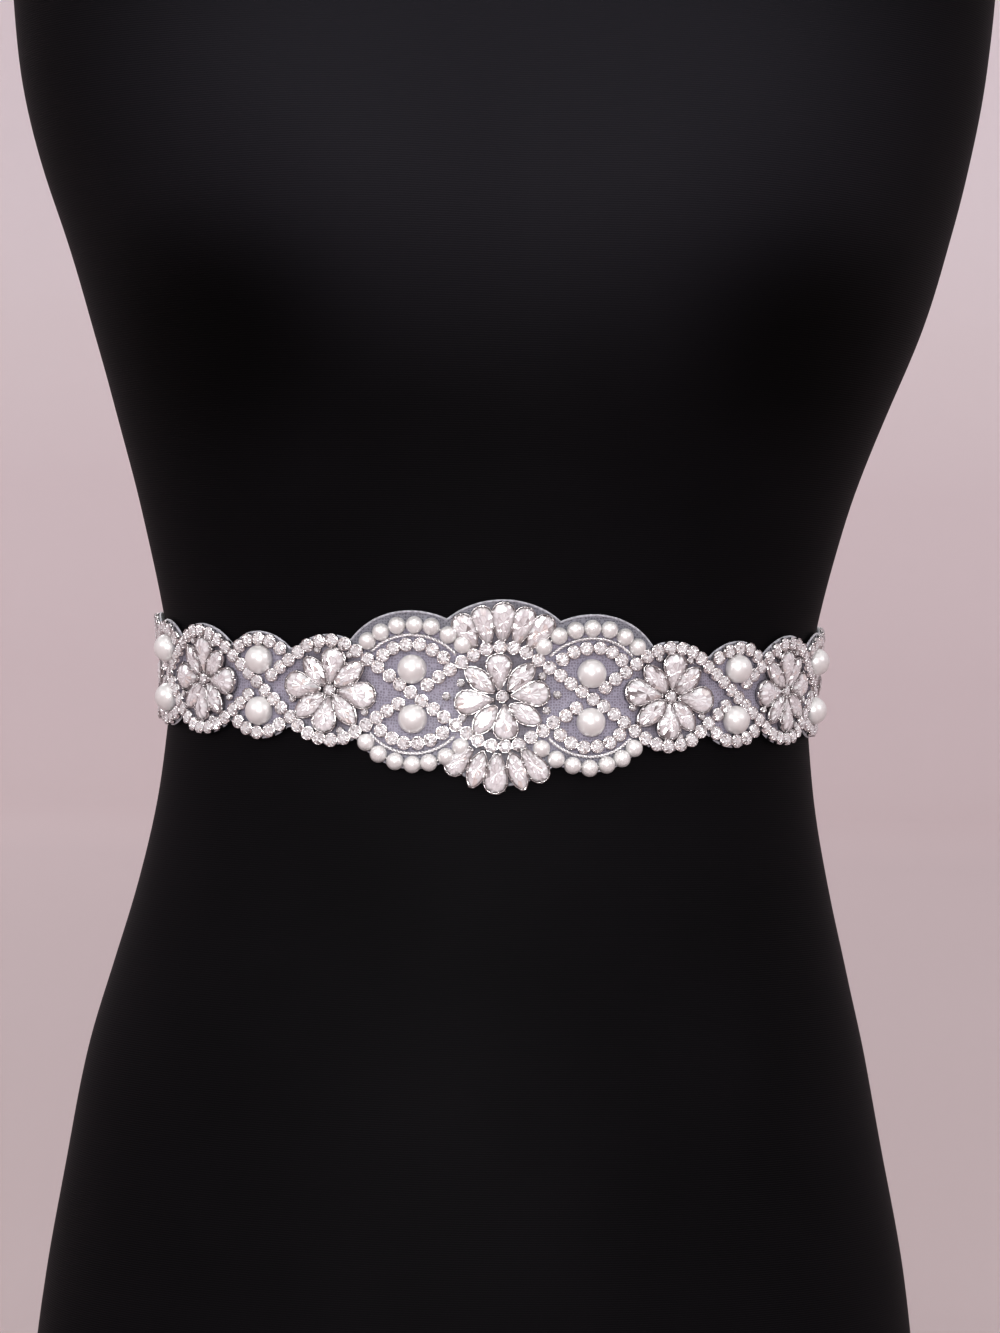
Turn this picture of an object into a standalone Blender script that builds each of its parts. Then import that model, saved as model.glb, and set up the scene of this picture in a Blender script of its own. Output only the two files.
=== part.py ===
"""Bridal sash with a beaded net applique, tied round a limbless dress form.

All sizes are in millimetres and become metres where a mesh is made. The front faces -Y,
+X is to the right of someone who looks at the front, and +Z is up. The form stands on its
flat underside at z = 0. Beadwork is drawn flat, as (along, up, out): along the waist from
the middle of the front, up from the middle line of the sash, and out from the form.
"""

import math

import bmesh
import bpy
from mathutils import Vector

METRES_PER_MM = 0.001

# Dress form. Each row: level above the waist, half width, depth of the front and of the back.
WAIST_HEIGHT = 275.0
FORM_SECTIONS = (
    (-275.0, 143.0, 100.5, 118.5),
    (-270.0, 147.0, 104.0, 122.0),
    (-235.0, 148.5, 107.0, 129.0),
    (-195.0, 144.5, 107.0, 131.0),
    (-153.0, 137.0, 104.0, 126.0),
    (-119.0, 130.5, 100.5, 117.5),
    (-92.0, 123.5, 96.5, 108.0),
    (-65.0, 116.5, 92.0, 98.5),
    (-38.0, 111.0, 87.8, 90.0),
    (-12.0, 108.0, 85.5, 85.6),
    (0.0, 107.5, 85.2, 85.2),
    (12.0, 108.0, 85.7, 85.6),
    (29.0, 111.0, 88.0, 87.5),
    (50.0, 116.0, 92.5, 90.5),
    (70.0, 121.5, 98.0, 94.0),
    (97.0, 130.5, 106.0, 99.0),
    (124.0, 140.0, 112.0, 103.5),
    (150.0, 148.0, 115.5, 107.0),
    (175.0, 155.5, 115.5, 109.5),
    (200.0, 161.0, 112.5, 110.5),
    (225.0, 164.0, 107.5, 110.0),
    (250.0, 165.5, 101.0, 108.0),
    (275.0, 165.5, 94.0, 104.0),
    (300.0, 163.0, 86.5, 98.0),
    (322.0, 157.5, 78.5, 89.0),
    (338.0, 147.0, 70.0, 78.5),
    (350.0, 131.0, 62.5, 70.0),
    (361.0, 111.0, 57.0, 64.0),
    (371.0, 91.0, 54.0, 60.0),
    (381.0, 74.0, 52.0, 57.0),
    (394.0, 62.0, 50.5, 54.5),
    (412.0, 56.0, 50.0, 52.5),
    (440.0, 54.0, 50.0, 51.5),
    (458.0, 54.0, 50.0, 51.5),
    (462.0, 51.0, 47.0, 48.5),
)
FORM_SIDES = 44
BAND_ZONE = (-38.0, 50.0)
BAND_ZONE_STEP = 11.0
SQUARE_LEVELS = (150.0, 260.0, 340.0)
SQUARE_POWER = 2.5
BUST_LEVEL = 162.0
BUST_HALF_SPACING = 68.0
BUST_RISE = 15.0
BUST_SPREAD = 52.0

# Small steps over which the skin's slope is measured: a turn in radians and a level.
SLOPE_TURN = 0.01
SLOPE_LEVEL = 1.0

# How the sash lies on the form. Its loop tilts, so the back is higher than the front.
BACK_RISE = 14.0
CLOTH_GAP = 0.5
CLOTH_THICKNESS = 1.0
SEAM_GAP = 0.3
BEAD_GAP = 0.35
BEAD_FOOT = CLOTH_GAP + CLOTH_THICKNESS + BEAD_GAP

# Stations along the waist, from the middle of the front to either side.
EYE_AT = 28.0
FLOWER_AT = (55.0, 106.0, 157.0)
PAIR_AT = (80.5, 131.5)
NET_END = 180.0
ROUTE_STEP = 0.5
FINE_STEP = 0.2
ARC_POINTS = 25

# Sections of the beadwork's ridges. Each corner: share of the half width, share of the height.
CHAIN_PROFILE = ((-0.85, 0.0), (0.85, 0.0), (0.72, 1.0), (-0.72, 1.0))
PEARL_PROFILE = ((-0.8, 0.0), (0.8, 0.0), (0.95, 0.42), (0.0, 1.0), (-0.95, 0.42))
CORD_PROFILE = ((-1.0, 0.0), (1.0, 0.0), (0.6, 1.0), (-0.6, 1.0))

# Cup chain of 4 mm stones.
RING_RADIUS = 16.0
CHAIN_PITCH = 4.6
CHAIN_HALF_WIDTH = 2.05
CHAIN_HEIGHT = 2.6
CHAIN_WAIST_SHARE = 0.68
CROSSING_CLEARANCE = 3.5
ARCH_RADIUS = 13.1
ARCH_CENTRE = 2.2
ARCH_HALF_ANGLE = math.radians(48.0)

# Silver cord and the pearls.
CORD_RADIUS = 0.5
CORD_ARC_RADIUS = 17.6
CORD_ARC_CENTRE = 0.6
CORD_HALF_SPAN = 12.4
LARGE_PEARL_RADIUS = 4.4
LARGE_PEARL_RAISED = 1.2
LARGE_PEARL_UP = 8.4
SMALL_PEARL_RADIUS = 2.65
SMALL_PEARL_RAISED = 0.6
SMALL_PEARL_COUNT = 7
SMALL_PEARL_ARC_RADIUS = 21.4
SMALL_PEARL_ARC_CENTRE = 1.0
SMALL_PEARL_STEP = math.radians(14.7)
SMALL_PEARL_SHIFT = 0.5
SMALL_PEARL_RINGS = (-0.9, -0.45, 0.45, 0.9)
LARGE_PEARL_SEGMENTS = (9, 6)
CORD_STEPS = 9

# Claw-set stones: share of the length, share of the half width.
PEAR_OUTLINE = ((0.42, 0.68), (0.77, 1.0), (1.0, 0.42))
MARQUISE_OUTLINE = ((0.30, 0.82), (0.60, 0.96), (1.0, 0.10))
STONE_GIRDLE = 1.5
STONE_CROWN = 1.5
STONE_TABLE_SHARE = 0.52
FLOWER_CORE_RADIUS = 2.3
FLOWER_PEAR = (11.0, 7.4)
FLOWER_MARQUISE = (10.6, 5.1)

# Fans over and under the middle flower. Each row: angle of the root seen from the middle of
# the flower, direction of the stone, length, width, outline.
FAN_STONES = (
    (-22.0, -38.0, 11.0, 5.8, PEAR_OUTLINE),
    (-11.0, -18.0, 9.8, 4.8, MARQUISE_OUTLINE),
    (0.0, 0.0, 11.3, 7.2, PEAR_OUTLINE),
    (11.0, 18.0, 9.8, 4.8, MARQUISE_OUTLINE),
    (22.0, 38.0, 11.0, 5.8, PEAR_OUTLINE),
)
FAN_PLATE_INNER = 18.2
FAN_PLATE_OUTER = 19.5
FAN_ROOT_HALF_WIDTH = 0.75

# Lobes of the net's outline: station, height of the arc's centre, radius above, radius below.
NET_LOBES = (
    (0.0, 4.2, 26.4, 25.2),
    (EYE_AT, 1.0, 25.3, 24.6),
    (FLOWER_AT[0], 0.0, 18.8, 18.8),
    (PAIR_AT[0], 2.2, 16.4, 16.4),
    (FLOWER_AT[1], 0.0, 18.8, 18.8),
    (PAIR_AT[1], 2.2, 16.4, 16.4),
    (FLOWER_AT[2], 0.0, 18.8, 18.8),
)
NET_COLUMNS = 62
NET_ROWS = 5

# Ribbon of 25 mm satin, its knot and its tails.
RIBBON_HALF_WIDTH = 12.5
RIBBON_GATHERED_HALF_WIDTH = 6.0
RIBBON_GATHER_LENGTH = 34.0
RIBBON_GATHER_LIFT = 2.0
RIBBON_FOLD_DEPTH = 1.3
RIBBON_FOLDS = 2
RIBBON_PLAIN_COLUMNS = 10
RIBBON_GATHER_COLUMNS = 6
RIBBON_ROWS = 6
KNOT_SIZE = (18.0, 17.0, 10.0)
KNOT_ROUNDING = 3.6
KNOT_GAP = 0.8
TAIL_LENGTH = 215.0
TAIL_SLANT = 15.0
TAIL_ROOT_X = 4.9
TAIL_END_X = 29.0
TAIL_ROOT_HALF_WIDTH = 4.0
TAIL_SPREAD_SHARE = 0.3
TAIL_GAP = 0.8
TAIL_FOLD_DEPTH = 2.2
TAIL_FOLD_DRIFT = 0.8
TAIL_FOLD_FADE = 0.55
TAIL_COLUMNS = 15
TAIL_ROWS = 5

# Material: colour, metallic, roughness.
FINISHES = {
    "jersey_black": ((0.012, 0.011, 0.013), 0.0, 0.75),
    "net_silver": ((0.46, 0.45, 0.50), 0.0, 0.55),
    "satin_ivory": ((0.86, 0.82, 0.76), 0.0, 0.32),
    "crystal_clear": ((0.90, 0.90, 0.93), 0.3, 0.08),
    "chain_silver": ((0.84, 0.84, 0.88), 0.7, 0.15),
    "pearl_white": ((0.90, 0.86, 0.82), 0.0, 0.18),
    "cord_silver": ((0.78, 0.77, 0.76), 0.9, 0.25),
}

# Even turns at which the length of the waist is measured.
ARC_STEPS = 720

SHARP_ANGLE = math.radians(35.0)


def section_slope(column, row):
    """Slope of one column of the form's table at a row, from the rows beside it."""
    low = FORM_SECTIONS[max(row - 1, 0)]
    high = FORM_SECTIONS[min(row + 1, len(FORM_SECTIONS) - 1)]
    return (high[column] - low[column]) / (high[0] - low[0])


def section_size(column, level):
    """Smooth value of one column of the form's table at a level above the waist."""
    level = min(max(level, FORM_SECTIONS[0][0]), FORM_SECTIONS[-1][0])
    row = 0
    while row < len(FORM_SECTIONS) - 2 and FORM_SECTIONS[row + 1][0] < level:
        row += 1
    start, end = FORM_SECTIONS[row], FORM_SECTIONS[row + 1]
    span = end[0] - start[0]
    share = (level - start[0]) / span
    rest = 1.0 - share
    value = start[column] * (1.0 + 2.0 * share) * rest * rest
    value += section_slope(column, row) * span * share * rest * rest
    value += end[column] * share * share * (3.0 - 2.0 * share)
    value -= section_slope(column, row + 1) * span * share * share * rest
    return value


def section_power(level):
    """Power of the superellipse at a level: an ellipse below, squarer at the armholes."""
    low, middle, high = SQUARE_LEVELS
    if level <= low or level >= high:
        return 2.0
    share = (level - low) / (middle - low) if level < middle else (high - level) / (high - middle)
    return 2.0 + (SQUARE_POWER - 2.0) * (3.0 - 2.0 * share) * share * share


def form_surface(turn, level):
    """Point of the form's skin at a turn from the front (radians) and a level above the waist."""
    half_width = section_size(1, level)
    depth = section_size(2 if math.cos(turn) >= 0.0 else 3, level)
    shape = 2.0 / section_power(level)
    side, front = math.sin(turn), math.cos(turn)
    x = math.copysign(half_width * abs(side) ** shape, side)
    y = -math.copysign(depth * abs(front) ** shape, front)
    if front > 0.0:
        across = (abs(x) - BUST_HALF_SPACING) / BUST_SPREAD
        upward = (level - BUST_LEVEL) / BUST_SPREAD
        y -= BUST_RISE * math.exp(-across * across - upward * upward) * min(1.0, 2.0 * front)
    return Vector((x, y, level))


def form_point(turn, level, out):
    """Point at a distance out from the form's skin, along the skin's own normal."""
    around = form_surface(turn + SLOPE_TURN, level) - form_surface(turn - SLOPE_TURN, level)
    upward = form_surface(turn, level + SLOPE_LEVEL) - form_surface(turn, level - SLOPE_LEVEL)
    normal = around.cross(upward).normalized()
    return form_surface(turn, level) + normal * out


def waist_arc_lengths():
    """Distance along the waist from the middle of the front, at ARC_STEPS even turns."""
    lengths = [0.0]
    for step in range(ARC_STEPS):
        start = form_surface(2.0 * math.pi * step / ARC_STEPS, 0.0)
        end = form_surface(2.0 * math.pi * (step + 1) / ARC_STEPS, 0.0)
        lengths.append(lengths[-1] + (end - start).length)
    return lengths


ARC_LENGTHS = waist_arc_lengths()
HALF_WAIST = ARC_LENGTHS[ARC_STEPS // 2]


def turn_at(along):
    """Turn from the front, in radians, at a distance along the waist."""
    distance = abs(along)
    step = min(int(distance / ARC_LENGTHS[-1] * ARC_STEPS), ARC_STEPS - 1)
    while ARC_LENGTHS[step] > distance:
        step -= 1
    while step < ARC_STEPS - 1 and ARC_LENGTHS[step + 1] < distance:
        step += 1
    share = (distance - ARC_LENGTHS[step]) / (ARC_LENGTHS[step + 1] - ARC_LENGTHS[step])
    return math.copysign(2.0 * math.pi * (step + share) / ARC_STEPS, along)


def middle_level(turn):
    """Level of the sash's middle line at a turn from the front."""
    return BACK_RISE * (1.0 - math.cos(turn)) / 2.0


def on_band(along, up, out):
    """Point of the band from its flat place."""
    turn = turn_at(along)
    return form_point(turn, middle_level(turn) + up, out)


def on_back(x, level, out):
    """Point over the back of the form at a sideways distance and a level."""
    turn = math.pi - math.asin(x / section_size(1, level))
    return form_point(turn, level, out)


def bend(bm):
    """Carries a flat mesh on to the band."""
    for vert in bm.verts:
        vert.co = on_band(*vert.co)


def seat(bm, along, up):
    """Sets a small rigid mesh, drawn round its own foot, on the band at one place."""
    origin = on_band(along, up, 0.0)
    side = (on_band(along + 1.0, up, 0.0) - on_band(along - 1.0, up, 0.0)).normalized()
    outward = (on_band(along, up, 1.0) - origin).normalized()
    upward = outward.cross(side)
    for vert in bm.verts:
        across, height, out = vert.co
        vert.co = origin + side * across + upward * height + outward * out


def finish_material(name):
    """Principled material of one of the finishes, made once."""
    material = bpy.data.materials.get(name)
    if material:
        return material
    colour, metallic, roughness = FINISHES[name]
    material = bpy.data.materials.new(name)
    material.use_nodes = True
    shader = material.node_tree.nodes["Principled BSDF"]
    shader.inputs["Base Color"].default_value = (*colour, 1.0)
    shader.inputs["Metallic"].default_value = metallic
    shader.inputs["Roughness"].default_value = roughness
    material.diffuse_color = (*colour, 1.0)
    return material


def add_object(name, bm, finish):
    """Turns a mesh in millimetres above the waist into a named object in metres."""
    bmesh.ops.translate(bm, verts=bm.verts, vec=(0.0, 0.0, WAIST_HEIGHT))
    bmesh.ops.scale(bm, verts=bm.verts, vec=(METRES_PER_MM,) * 3)
    bmesh.ops.recalc_face_normals(bm, faces=bm.faces)
    mesh = bpy.data.meshes.new(name)
    bm.to_mesh(mesh)
    bm.free()
    mesh.shade_smooth()
    mesh.set_sharp_from_angle(angle=SHARP_ANGLE)
    mesh.materials.append(finish_material(finish))
    thing = bpy.data.objects.new(name, mesh)
    bpy.context.collection.objects.link(thing)
    return thing


def loft(bm, rings):
    """Closed body through rings of equal count, with a flat cap at each end."""
    loops = [[bm.verts.new(point) for point in ring] for ring in rings]
    for lower, upper in zip(loops, loops[1:]):
        for index in range(len(lower)):
            following = (index + 1) % len(lower)
            bm.faces.new((lower[index], lower[following], upper[following], upper[index]))
    bm.faces.new(loops[0][::-1])
    bm.faces.new(loops[-1])


def cloth_wall(bm, grid, thickness):
    """Closed wall of cloth from a grid of flat points on its inner side."""
    inner = [[bm.verts.new(point) for point in column] for column in grid]
    outer = [
        [bm.verts.new((along, up, out + thickness)) for along, up, out in column]
        for column in grid
    ]
    for side in (inner, outer):
        for first, second in zip(side, side[1:]):
            for row in range(len(first) - 1):
                bm.faces.new((first[row], second[row], second[row + 1], first[row + 1]))
    last = len(grid[0]) - 1
    for index in range(len(grid) - 1):
        for row in (0, last):
            near, far = inner[index], inner[index + 1]
            bm.faces.new((near[row], far[row], outer[index + 1][row], outer[index][row]))
    for index in (0, len(grid) - 1):
        for row in range(last):
            near, far = inner[index], outer[index]
            bm.faces.new((near[row], near[row + 1], far[row + 1], far[row]))


# ---------------------------------------------------------------- dress form


def form_levels():
    """Levels of the form's rings: the table's rows, and even closer ones under the sash."""
    low, high = BAND_ZONE
    steps = round((high - low) / BAND_ZONE_STEP)
    zone = [low + (high - low) * step / steps for step in range(steps + 1)]
    return sorted({row[0] for row in FORM_SECTIONS if not low < row[0] < high} | set(zone))


def build_dress_form():
    """Whole limbless torso with a short neck and a flat underside."""
    rings = []
    for level in form_levels():
        turns = [2.0 * math.pi * side / FORM_SIDES for side in range(FORM_SIDES)]
        rings.append([form_surface(turn, level) for turn in turns])
    bm = bmesh.new()
    loft(bm, rings)
    add_object("dress_form", bm, "jersey_black")


# ---------------------------------------------------------------- net ground


def net_edge(along, below):
    """Height of the net's upper edge, or of its lower one, at a place along the band."""
    height = RIBBON_HALF_WIDTH
    for station, centre, radius_above, radius_below in NET_LOBES:
        radius = radius_below if below else radius_above
        reach = abs(abs(along) - station)
        if reach < radius:
            height = max(height, centre + math.sqrt(radius * radius - reach * reach))
    return -height if below else height


def build_net_ground():
    """Scalloped net that carries all the beadwork."""
    grid = []
    for column in range(NET_COLUMNS + 1):
        along = NET_END * (2.0 * column / NET_COLUMNS - 1.0)
        low, high = net_edge(along, True), net_edge(along, False)
        ups = [low + (high - low) * row / NET_ROWS for row in range(NET_ROWS + 1)]
        grid.append([(along, up, CLOTH_GAP) for up in ups])
    bm = bmesh.new()
    cloth_wall(bm, grid, CLOTH_THICKNESS)
    bend(bm)
    add_object("net_ground", bm, "net_silver")


# ---------------------------------------------------------------- ridges: chain and cord


def strand_up(along, phase):
    """Height of a chain strand: round each flower on a circle, straight to each crossing.

    phase +1 is the strand that runs over the middle flower, -1 the one that runs under it.
    """
    distance = abs(along)
    flowers = (0.0,) + FLOWER_AT
    crossings = (EYE_AT,) + PAIR_AT
    index = sum(1 for crossing in crossings if distance > crossing)
    reach = abs(distance - flowers[index])
    beyond = distance > flowers[index] and index < len(crossings)
    crossing = crossings[index] if beyond or index == 0 else crossings[index - 1]
    pitch = abs(crossing - flowers[index])
    if reach < RING_RADIUS * RING_RADIUS / pitch:
        height = math.sqrt(RING_RADIUS * RING_RADIUS - reach * reach)
    else:
        slope = RING_RADIUS / math.sqrt(pitch * pitch - RING_RADIUS * RING_RADIUS)
        height = (pitch - reach) * slope
    return phase * (-1.0) ** index * height


def resample(route, count):
    """Points at even distances along a flat route."""
    lengths = [0.0]
    for first, second in zip(route, route[1:]):
        lengths.append(lengths[-1] + math.dist(first, second))
    points = []
    index = 0
    for step in range(count + 1):
        target = lengths[-1] * step / count
        while index < len(lengths) - 2 and lengths[index + 1] < target:
            index += 1
        share = (target - lengths[index]) / (lengths[index + 1] - lengths[index])
        first, second = route[index], route[index + 1]
        points.append(tuple(a + (b - a) * share for a, b in zip(first, second)))
    return points


def trimmed(route, start, end):
    """Flat route with a length taken off each end."""
    fine = resample(route, 4 * len(route))
    step = math.dist(fine[0], fine[1])
    first, last = round(start / step), len(fine) - round(end / step)
    return fine[first:last]


def route_length(route):
    """Length of a flat route."""
    return sum(math.dist(first, second) for first, second in zip(route, route[1:]))


def ridge(bm, route, sizes, profile):
    """Closed ridge along a flat route.

    sizes has a half width and a height for each point, and profile the shares of them that
    each corner of the section takes.
    """
    rings = []
    for index, (along, up) in enumerate(route):
        before, after = route[max(index - 1, 0)], route[min(index + 1, len(route) - 1)]
        length = math.dist(before, after)
        side = ((before[1] - after[1]) / length, (after[0] - before[0]) / length)
        half_width, height = sizes[index]
        rings.append([
            (along + side[0] * half_width * across, up + side[1] * half_width * across,
             BEAD_FOOT + height * share)
            for across, share in profile
        ])
    loft(bm, rings)


def build_chain(name, route):
    """Length of cup chain, waisted between its stones."""
    stones = max(2, round(route_length(route) / CHAIN_PITCH))
    points = resample(route, 2 * stones)
    sizes = []
    for index in range(len(points)):
        share = 1.0 if index % 2 else CHAIN_WAIST_SHARE
        sizes.append((CHAIN_HALF_WIDTH * share, CHAIN_HEIGHT * share))
    bm = bmesh.new()
    ridge(bm, points, sizes, CHAIN_PROFILE)
    bend(bm)
    add_object(name, bm, "chain_silver")


def strand_route(start, end, phase):
    """Dense flat route of a strand between two places along the band."""
    count = round(abs(end - start) / ROUTE_STEP)
    alongs = [start + (end - start) * step / count for step in range(count + 1)]
    return [(along, strand_up(along, phase)) for along in alongs]


def end_loop_route(side, phase):
    """Route of a strand that runs round the last flower and back to its crossing."""
    last = FLOWER_AT[-1]
    out_run = strand_route(side * PAIR_AT[0], side * last, phase)
    back_run = strand_route(side * last, side * PAIR_AT[1], -phase)
    turn_side = math.copysign(1.0, out_run[-1][1])
    turn = []
    for step in range(1, ARC_POINTS - 1):
        angle = math.pi * step / (ARC_POINTS - 1)
        along = side * (last + RING_RADIUS * math.sin(angle))
        turn.append((along, turn_side * RING_RADIUS * math.cos(angle)))
    return out_run + turn + back_run


def build_chains():
    """Six lengths of chain. Each one ends where it would pass under another."""
    gap = CROSSING_CLEARANCE
    runs = (
        ("chain_middle_upper", strand_route(-EYE_AT, PAIR_AT[0], 1.0)),
        ("chain_middle_lower", strand_route(-PAIR_AT[0], EYE_AT, -1.0)),
        ("chain_side_left", strand_route(-PAIR_AT[1], -EYE_AT, 1.0)),
        ("chain_side_right", strand_route(EYE_AT, PAIR_AT[1], -1.0)),
        ("chain_end_left", end_loop_route(-1.0, -1.0)),
        ("chain_end_right", end_loop_route(1.0, 1.0)),
    )
    for name, route in runs:
        build_chain(name, trimmed(route, gap, gap))


def arc_route(along, centre, radius, half_angle, below):
    """Flat arc over a station, or its mirror image under it."""
    sign = -1.0 if below else 1.0
    route = []
    for step in range(ARC_POINTS):
        angle = half_angle * (2.0 * step / (ARC_POINTS - 1) - 1.0)
        up = centre + radius * math.cos(angle)
        route.append((along + radius * math.sin(angle), sign * up))
    return route


# ---------------------------------------------------------------- pearls


def build_large_pearl(name, along, up):
    """Flat-backed large pearl."""
    bm = bmesh.new()
    around, rings = LARGE_PEARL_SEGMENTS
    bmesh.ops.create_uvsphere(
        bm, u_segments=around, v_segments=rings, radius=LARGE_PEARL_RADIUS)
    whole = bm.verts[:] + bm.edges[:] + bm.faces[:]
    cut = bmesh.ops.bisect_plane(
        bm, geom=whole, dist=0.00001, plane_co=(0.0, 0.0, -LARGE_PEARL_RAISED),
        plane_no=(0.0, 0.0, -1.0), clear_outer=True,
    )
    rim = [part for part in cut["geom_cut"] if isinstance(part, bmesh.types.BMEdge)]
    bmesh.ops.contextual_create(bm, geom=rim)
    bmesh.ops.translate(bm, verts=bm.verts, vec=(0.0, 0.0, BEAD_FOOT + LARGE_PEARL_RAISED))
    seat(bm, along, up)
    add_object(name, bm, "pearl_white")


def build_pearl_row(name, along, shift, below):
    """Row of small flat-backed pearls, joined by the thread they are strung on."""
    half_angle = SMALL_PEARL_STEP * (SMALL_PEARL_COUNT - 1) / 2.0
    half_angle += SMALL_PEARL_RADIUS / SMALL_PEARL_ARC_RADIUS
    route = arc_route(
        along + shift, SMALL_PEARL_ARC_CENTRE, SMALL_PEARL_ARC_RADIUS, half_angle, below)
    length = route_length(route)
    fine = resample(route, round(length / FINE_STEP))
    radius, raised = SMALL_PEARL_RADIUS, SMALL_PEARL_RAISED
    points, sizes = [], []
    for pearl in range(SMALL_PEARL_COUNT):
        middle = radius + (length - 2.0 * radius) * pearl / (SMALL_PEARL_COUNT - 1)
        for share in SMALL_PEARL_RINGS:
            points.append(fine[round((middle + share * radius) / length * (len(fine) - 1))])
            bulge = math.sqrt(1.0 - share * share)
            sizes.append((radius * bulge, raised + radius * bulge))
    bm = bmesh.new()
    ridge(bm, points, sizes, PEARL_PROFILE)
    bend(bm)
    add_object(name, bm, "pearl_white")


# ---------------------------------------------------------------- claw-set stones


def stone_outline(root_left, root_right, direction, length, width, shares):
    """Flat outline of a stone from the right end of its root round to the left end."""
    middle = (Vector(root_left) + Vector(root_right)) / 2.0
    ahead = Vector((math.sin(direction), math.cos(direction)))
    right = Vector((ahead.y, -ahead.x))
    rightward = [middle + ahead * length * far + right * width / 2.0 * wide
                 for far, wide in shares]
    leftward = [middle + ahead * length * far - right * width / 2.0 * wide
                for far, wide in reversed(shares)]
    return [Vector(root_right)] + rightward + leftward + [Vector(root_left)]


def cut_stones(bm, outlines):
    """Raises flat outlines that share edges into one body, each with its own crown."""
    corners = {}

    def corner(point):
        key = (round(point[0], 4), round(point[1], 4))
        if key not in corners:
            corners[key] = bm.verts.new((point[0], point[1], BEAD_FOOT))
        return corners[key]

    plates = []
    for outline in outlines:
        face = bm.faces.new([corner(point) for point in outline])
        face.normal_update()
        if face.normal.z < 0.0:
            face.normal_flip()
        plates.append(face)
    raised = bmesh.ops.extrude_face_region(bm, geom=plates)["geom"]
    lifted = [part for part in raised if isinstance(part, bmesh.types.BMVert)]
    bmesh.ops.translate(bm, verts=lifted, vec=(0.0, 0.0, STONE_GIRDLE))
    tops = [part for part in raised if isinstance(part, bmesh.types.BMFace)]
    tables = bmesh.ops.extrude_discrete_faces(bm, faces=tops)["faces"]
    for table in tables:
        middle = table.calc_center_median()
        for vert in table.verts:
            vert.co = middle + (vert.co - middle) * STONE_TABLE_SHARE
            vert.co.z += STONE_CROWN


def build_flower(name, along):
    """Eight stones round a small centre stone."""
    radius = FLOWER_CORE_RADIUS
    angles = [math.pi * (petal - 0.5) / 4.0 for petal in range(8)]
    ring = [Vector((radius * math.sin(angle), radius * math.cos(angle))) for angle in angles]
    outlines = [ring]
    for petal in range(8):
        length, width = FLOWER_MARQUISE if petal % 2 else FLOWER_PEAR
        shares = MARQUISE_OUTLINE if petal % 2 else PEAR_OUTLINE
        left, right = ring[petal], ring[(petal + 1) % 8]
        direction = petal * math.pi / 4.0
        outlines.append(stone_outline(left, right, direction, length, width, shares))
    bm = bmesh.new()
    cut_stones(bm, outlines)
    bmesh.ops.translate(bm, verts=bm.verts, vec=(along, 0.0, 0.0))
    bend(bm)
    add_object(name, bm, "crystal_clear")


def build_fan(name, below):
    """Five stones that spread from a narrow plate over or under the middle flower."""
    sign = -1.0 if below else 1.0
    inner, outer = [], []
    roots = []
    half = FAN_ROOT_HALF_WIDTH / FAN_PLATE_OUTER
    for root_angle, *_ in FAN_STONES:
        middle = math.radians(root_angle)
        ends = []
        for angle in (middle - half, middle + half):
            ends.append(Vector((math.sin(angle), math.cos(angle))) * FAN_PLATE_OUTER)
            inner.append(Vector((math.sin(angle), math.cos(angle))) * FAN_PLATE_INNER)
        outer.extend(ends)
        roots.append(ends)
    outlines = [inner + outer[::-1]]
    for (left, right), row in zip(roots, FAN_STONES):
        _, direction, length, width, shares = row
        turned = math.radians(direction)
        outlines.append(stone_outline(left, right, turned, length, width, shares))
    flipped = [[(point[0], sign * point[1]) for point in outline] for outline in outlines]
    bm = bmesh.new()
    cut_stones(bm, flipped)
    bend(bm)
    add_object(name, bm, "crystal_clear")


# ---------------------------------------------------------------- ribbon


def build_ribbon(name, side):
    """Half of the ribbon, from the end of the net to the knot, gathered beside the knot."""
    start = NET_END + SEAM_GAP
    end = HALF_WAIST - KNOT_SIZE[0] / 2.0 - SEAM_GAP
    gather_start = end - RIBBON_GATHER_LENGTH
    plain = [start + (gather_start - start) * step / RIBBON_PLAIN_COLUMNS
             for step in range(RIBBON_PLAIN_COLUMNS)]
    gathered = [gather_start + RIBBON_GATHER_LENGTH * step / RIBBON_GATHER_COLUMNS
                for step in range(RIBBON_GATHER_COLUMNS + 1)]
    grid = []
    for along in plain + gathered:
        share = max(0.0, (along - gather_start) / RIBBON_GATHER_LENGTH)
        ease = share * share * (3.0 - 2.0 * share)
        half = RIBBON_HALF_WIDTH + (RIBBON_GATHERED_HALF_WIDTH - RIBBON_HALF_WIDTH) * ease
        column = []
        for row in range(RIBBON_ROWS + 1):
            across = 2.0 * row / RIBBON_ROWS - 1.0
            wave = 0.5 - 0.5 * math.cos(math.pi * RIBBON_FOLDS * (across + 1.0))
            out = CLOTH_GAP + RIBBON_GATHER_LIFT * ease + RIBBON_FOLD_DEPTH * ease * wave
            column.append((side * along, half * across, out))
        grid.append(column)
    bm = bmesh.new()
    cloth_wall(bm, grid, CLOTH_THICKNESS)
    bend(bm)
    add_object(name, bm, "satin_ivory")


def build_knot():
    """Plain knot at the middle of the back."""
    width, height, depth = KNOT_SIZE
    bm = bmesh.new()
    bmesh.ops.create_cube(bm, size=1.0)
    bmesh.ops.scale(bm, verts=bm.verts, vec=(width, height, depth))
    bmesh.ops.bevel(
        bm, geom=bm.edges[:], offset=KNOT_ROUNDING, segments=2, profile=0.5, affect="EDGES")
    bmesh.ops.translate(bm, verts=bm.verts, vec=(0.0, 0.0, KNOT_GAP + depth / 2.0))
    seat(bm, HALF_WAIST, 0.0)
    add_object("ribbon_knot", bm, "satin_ivory")


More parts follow.
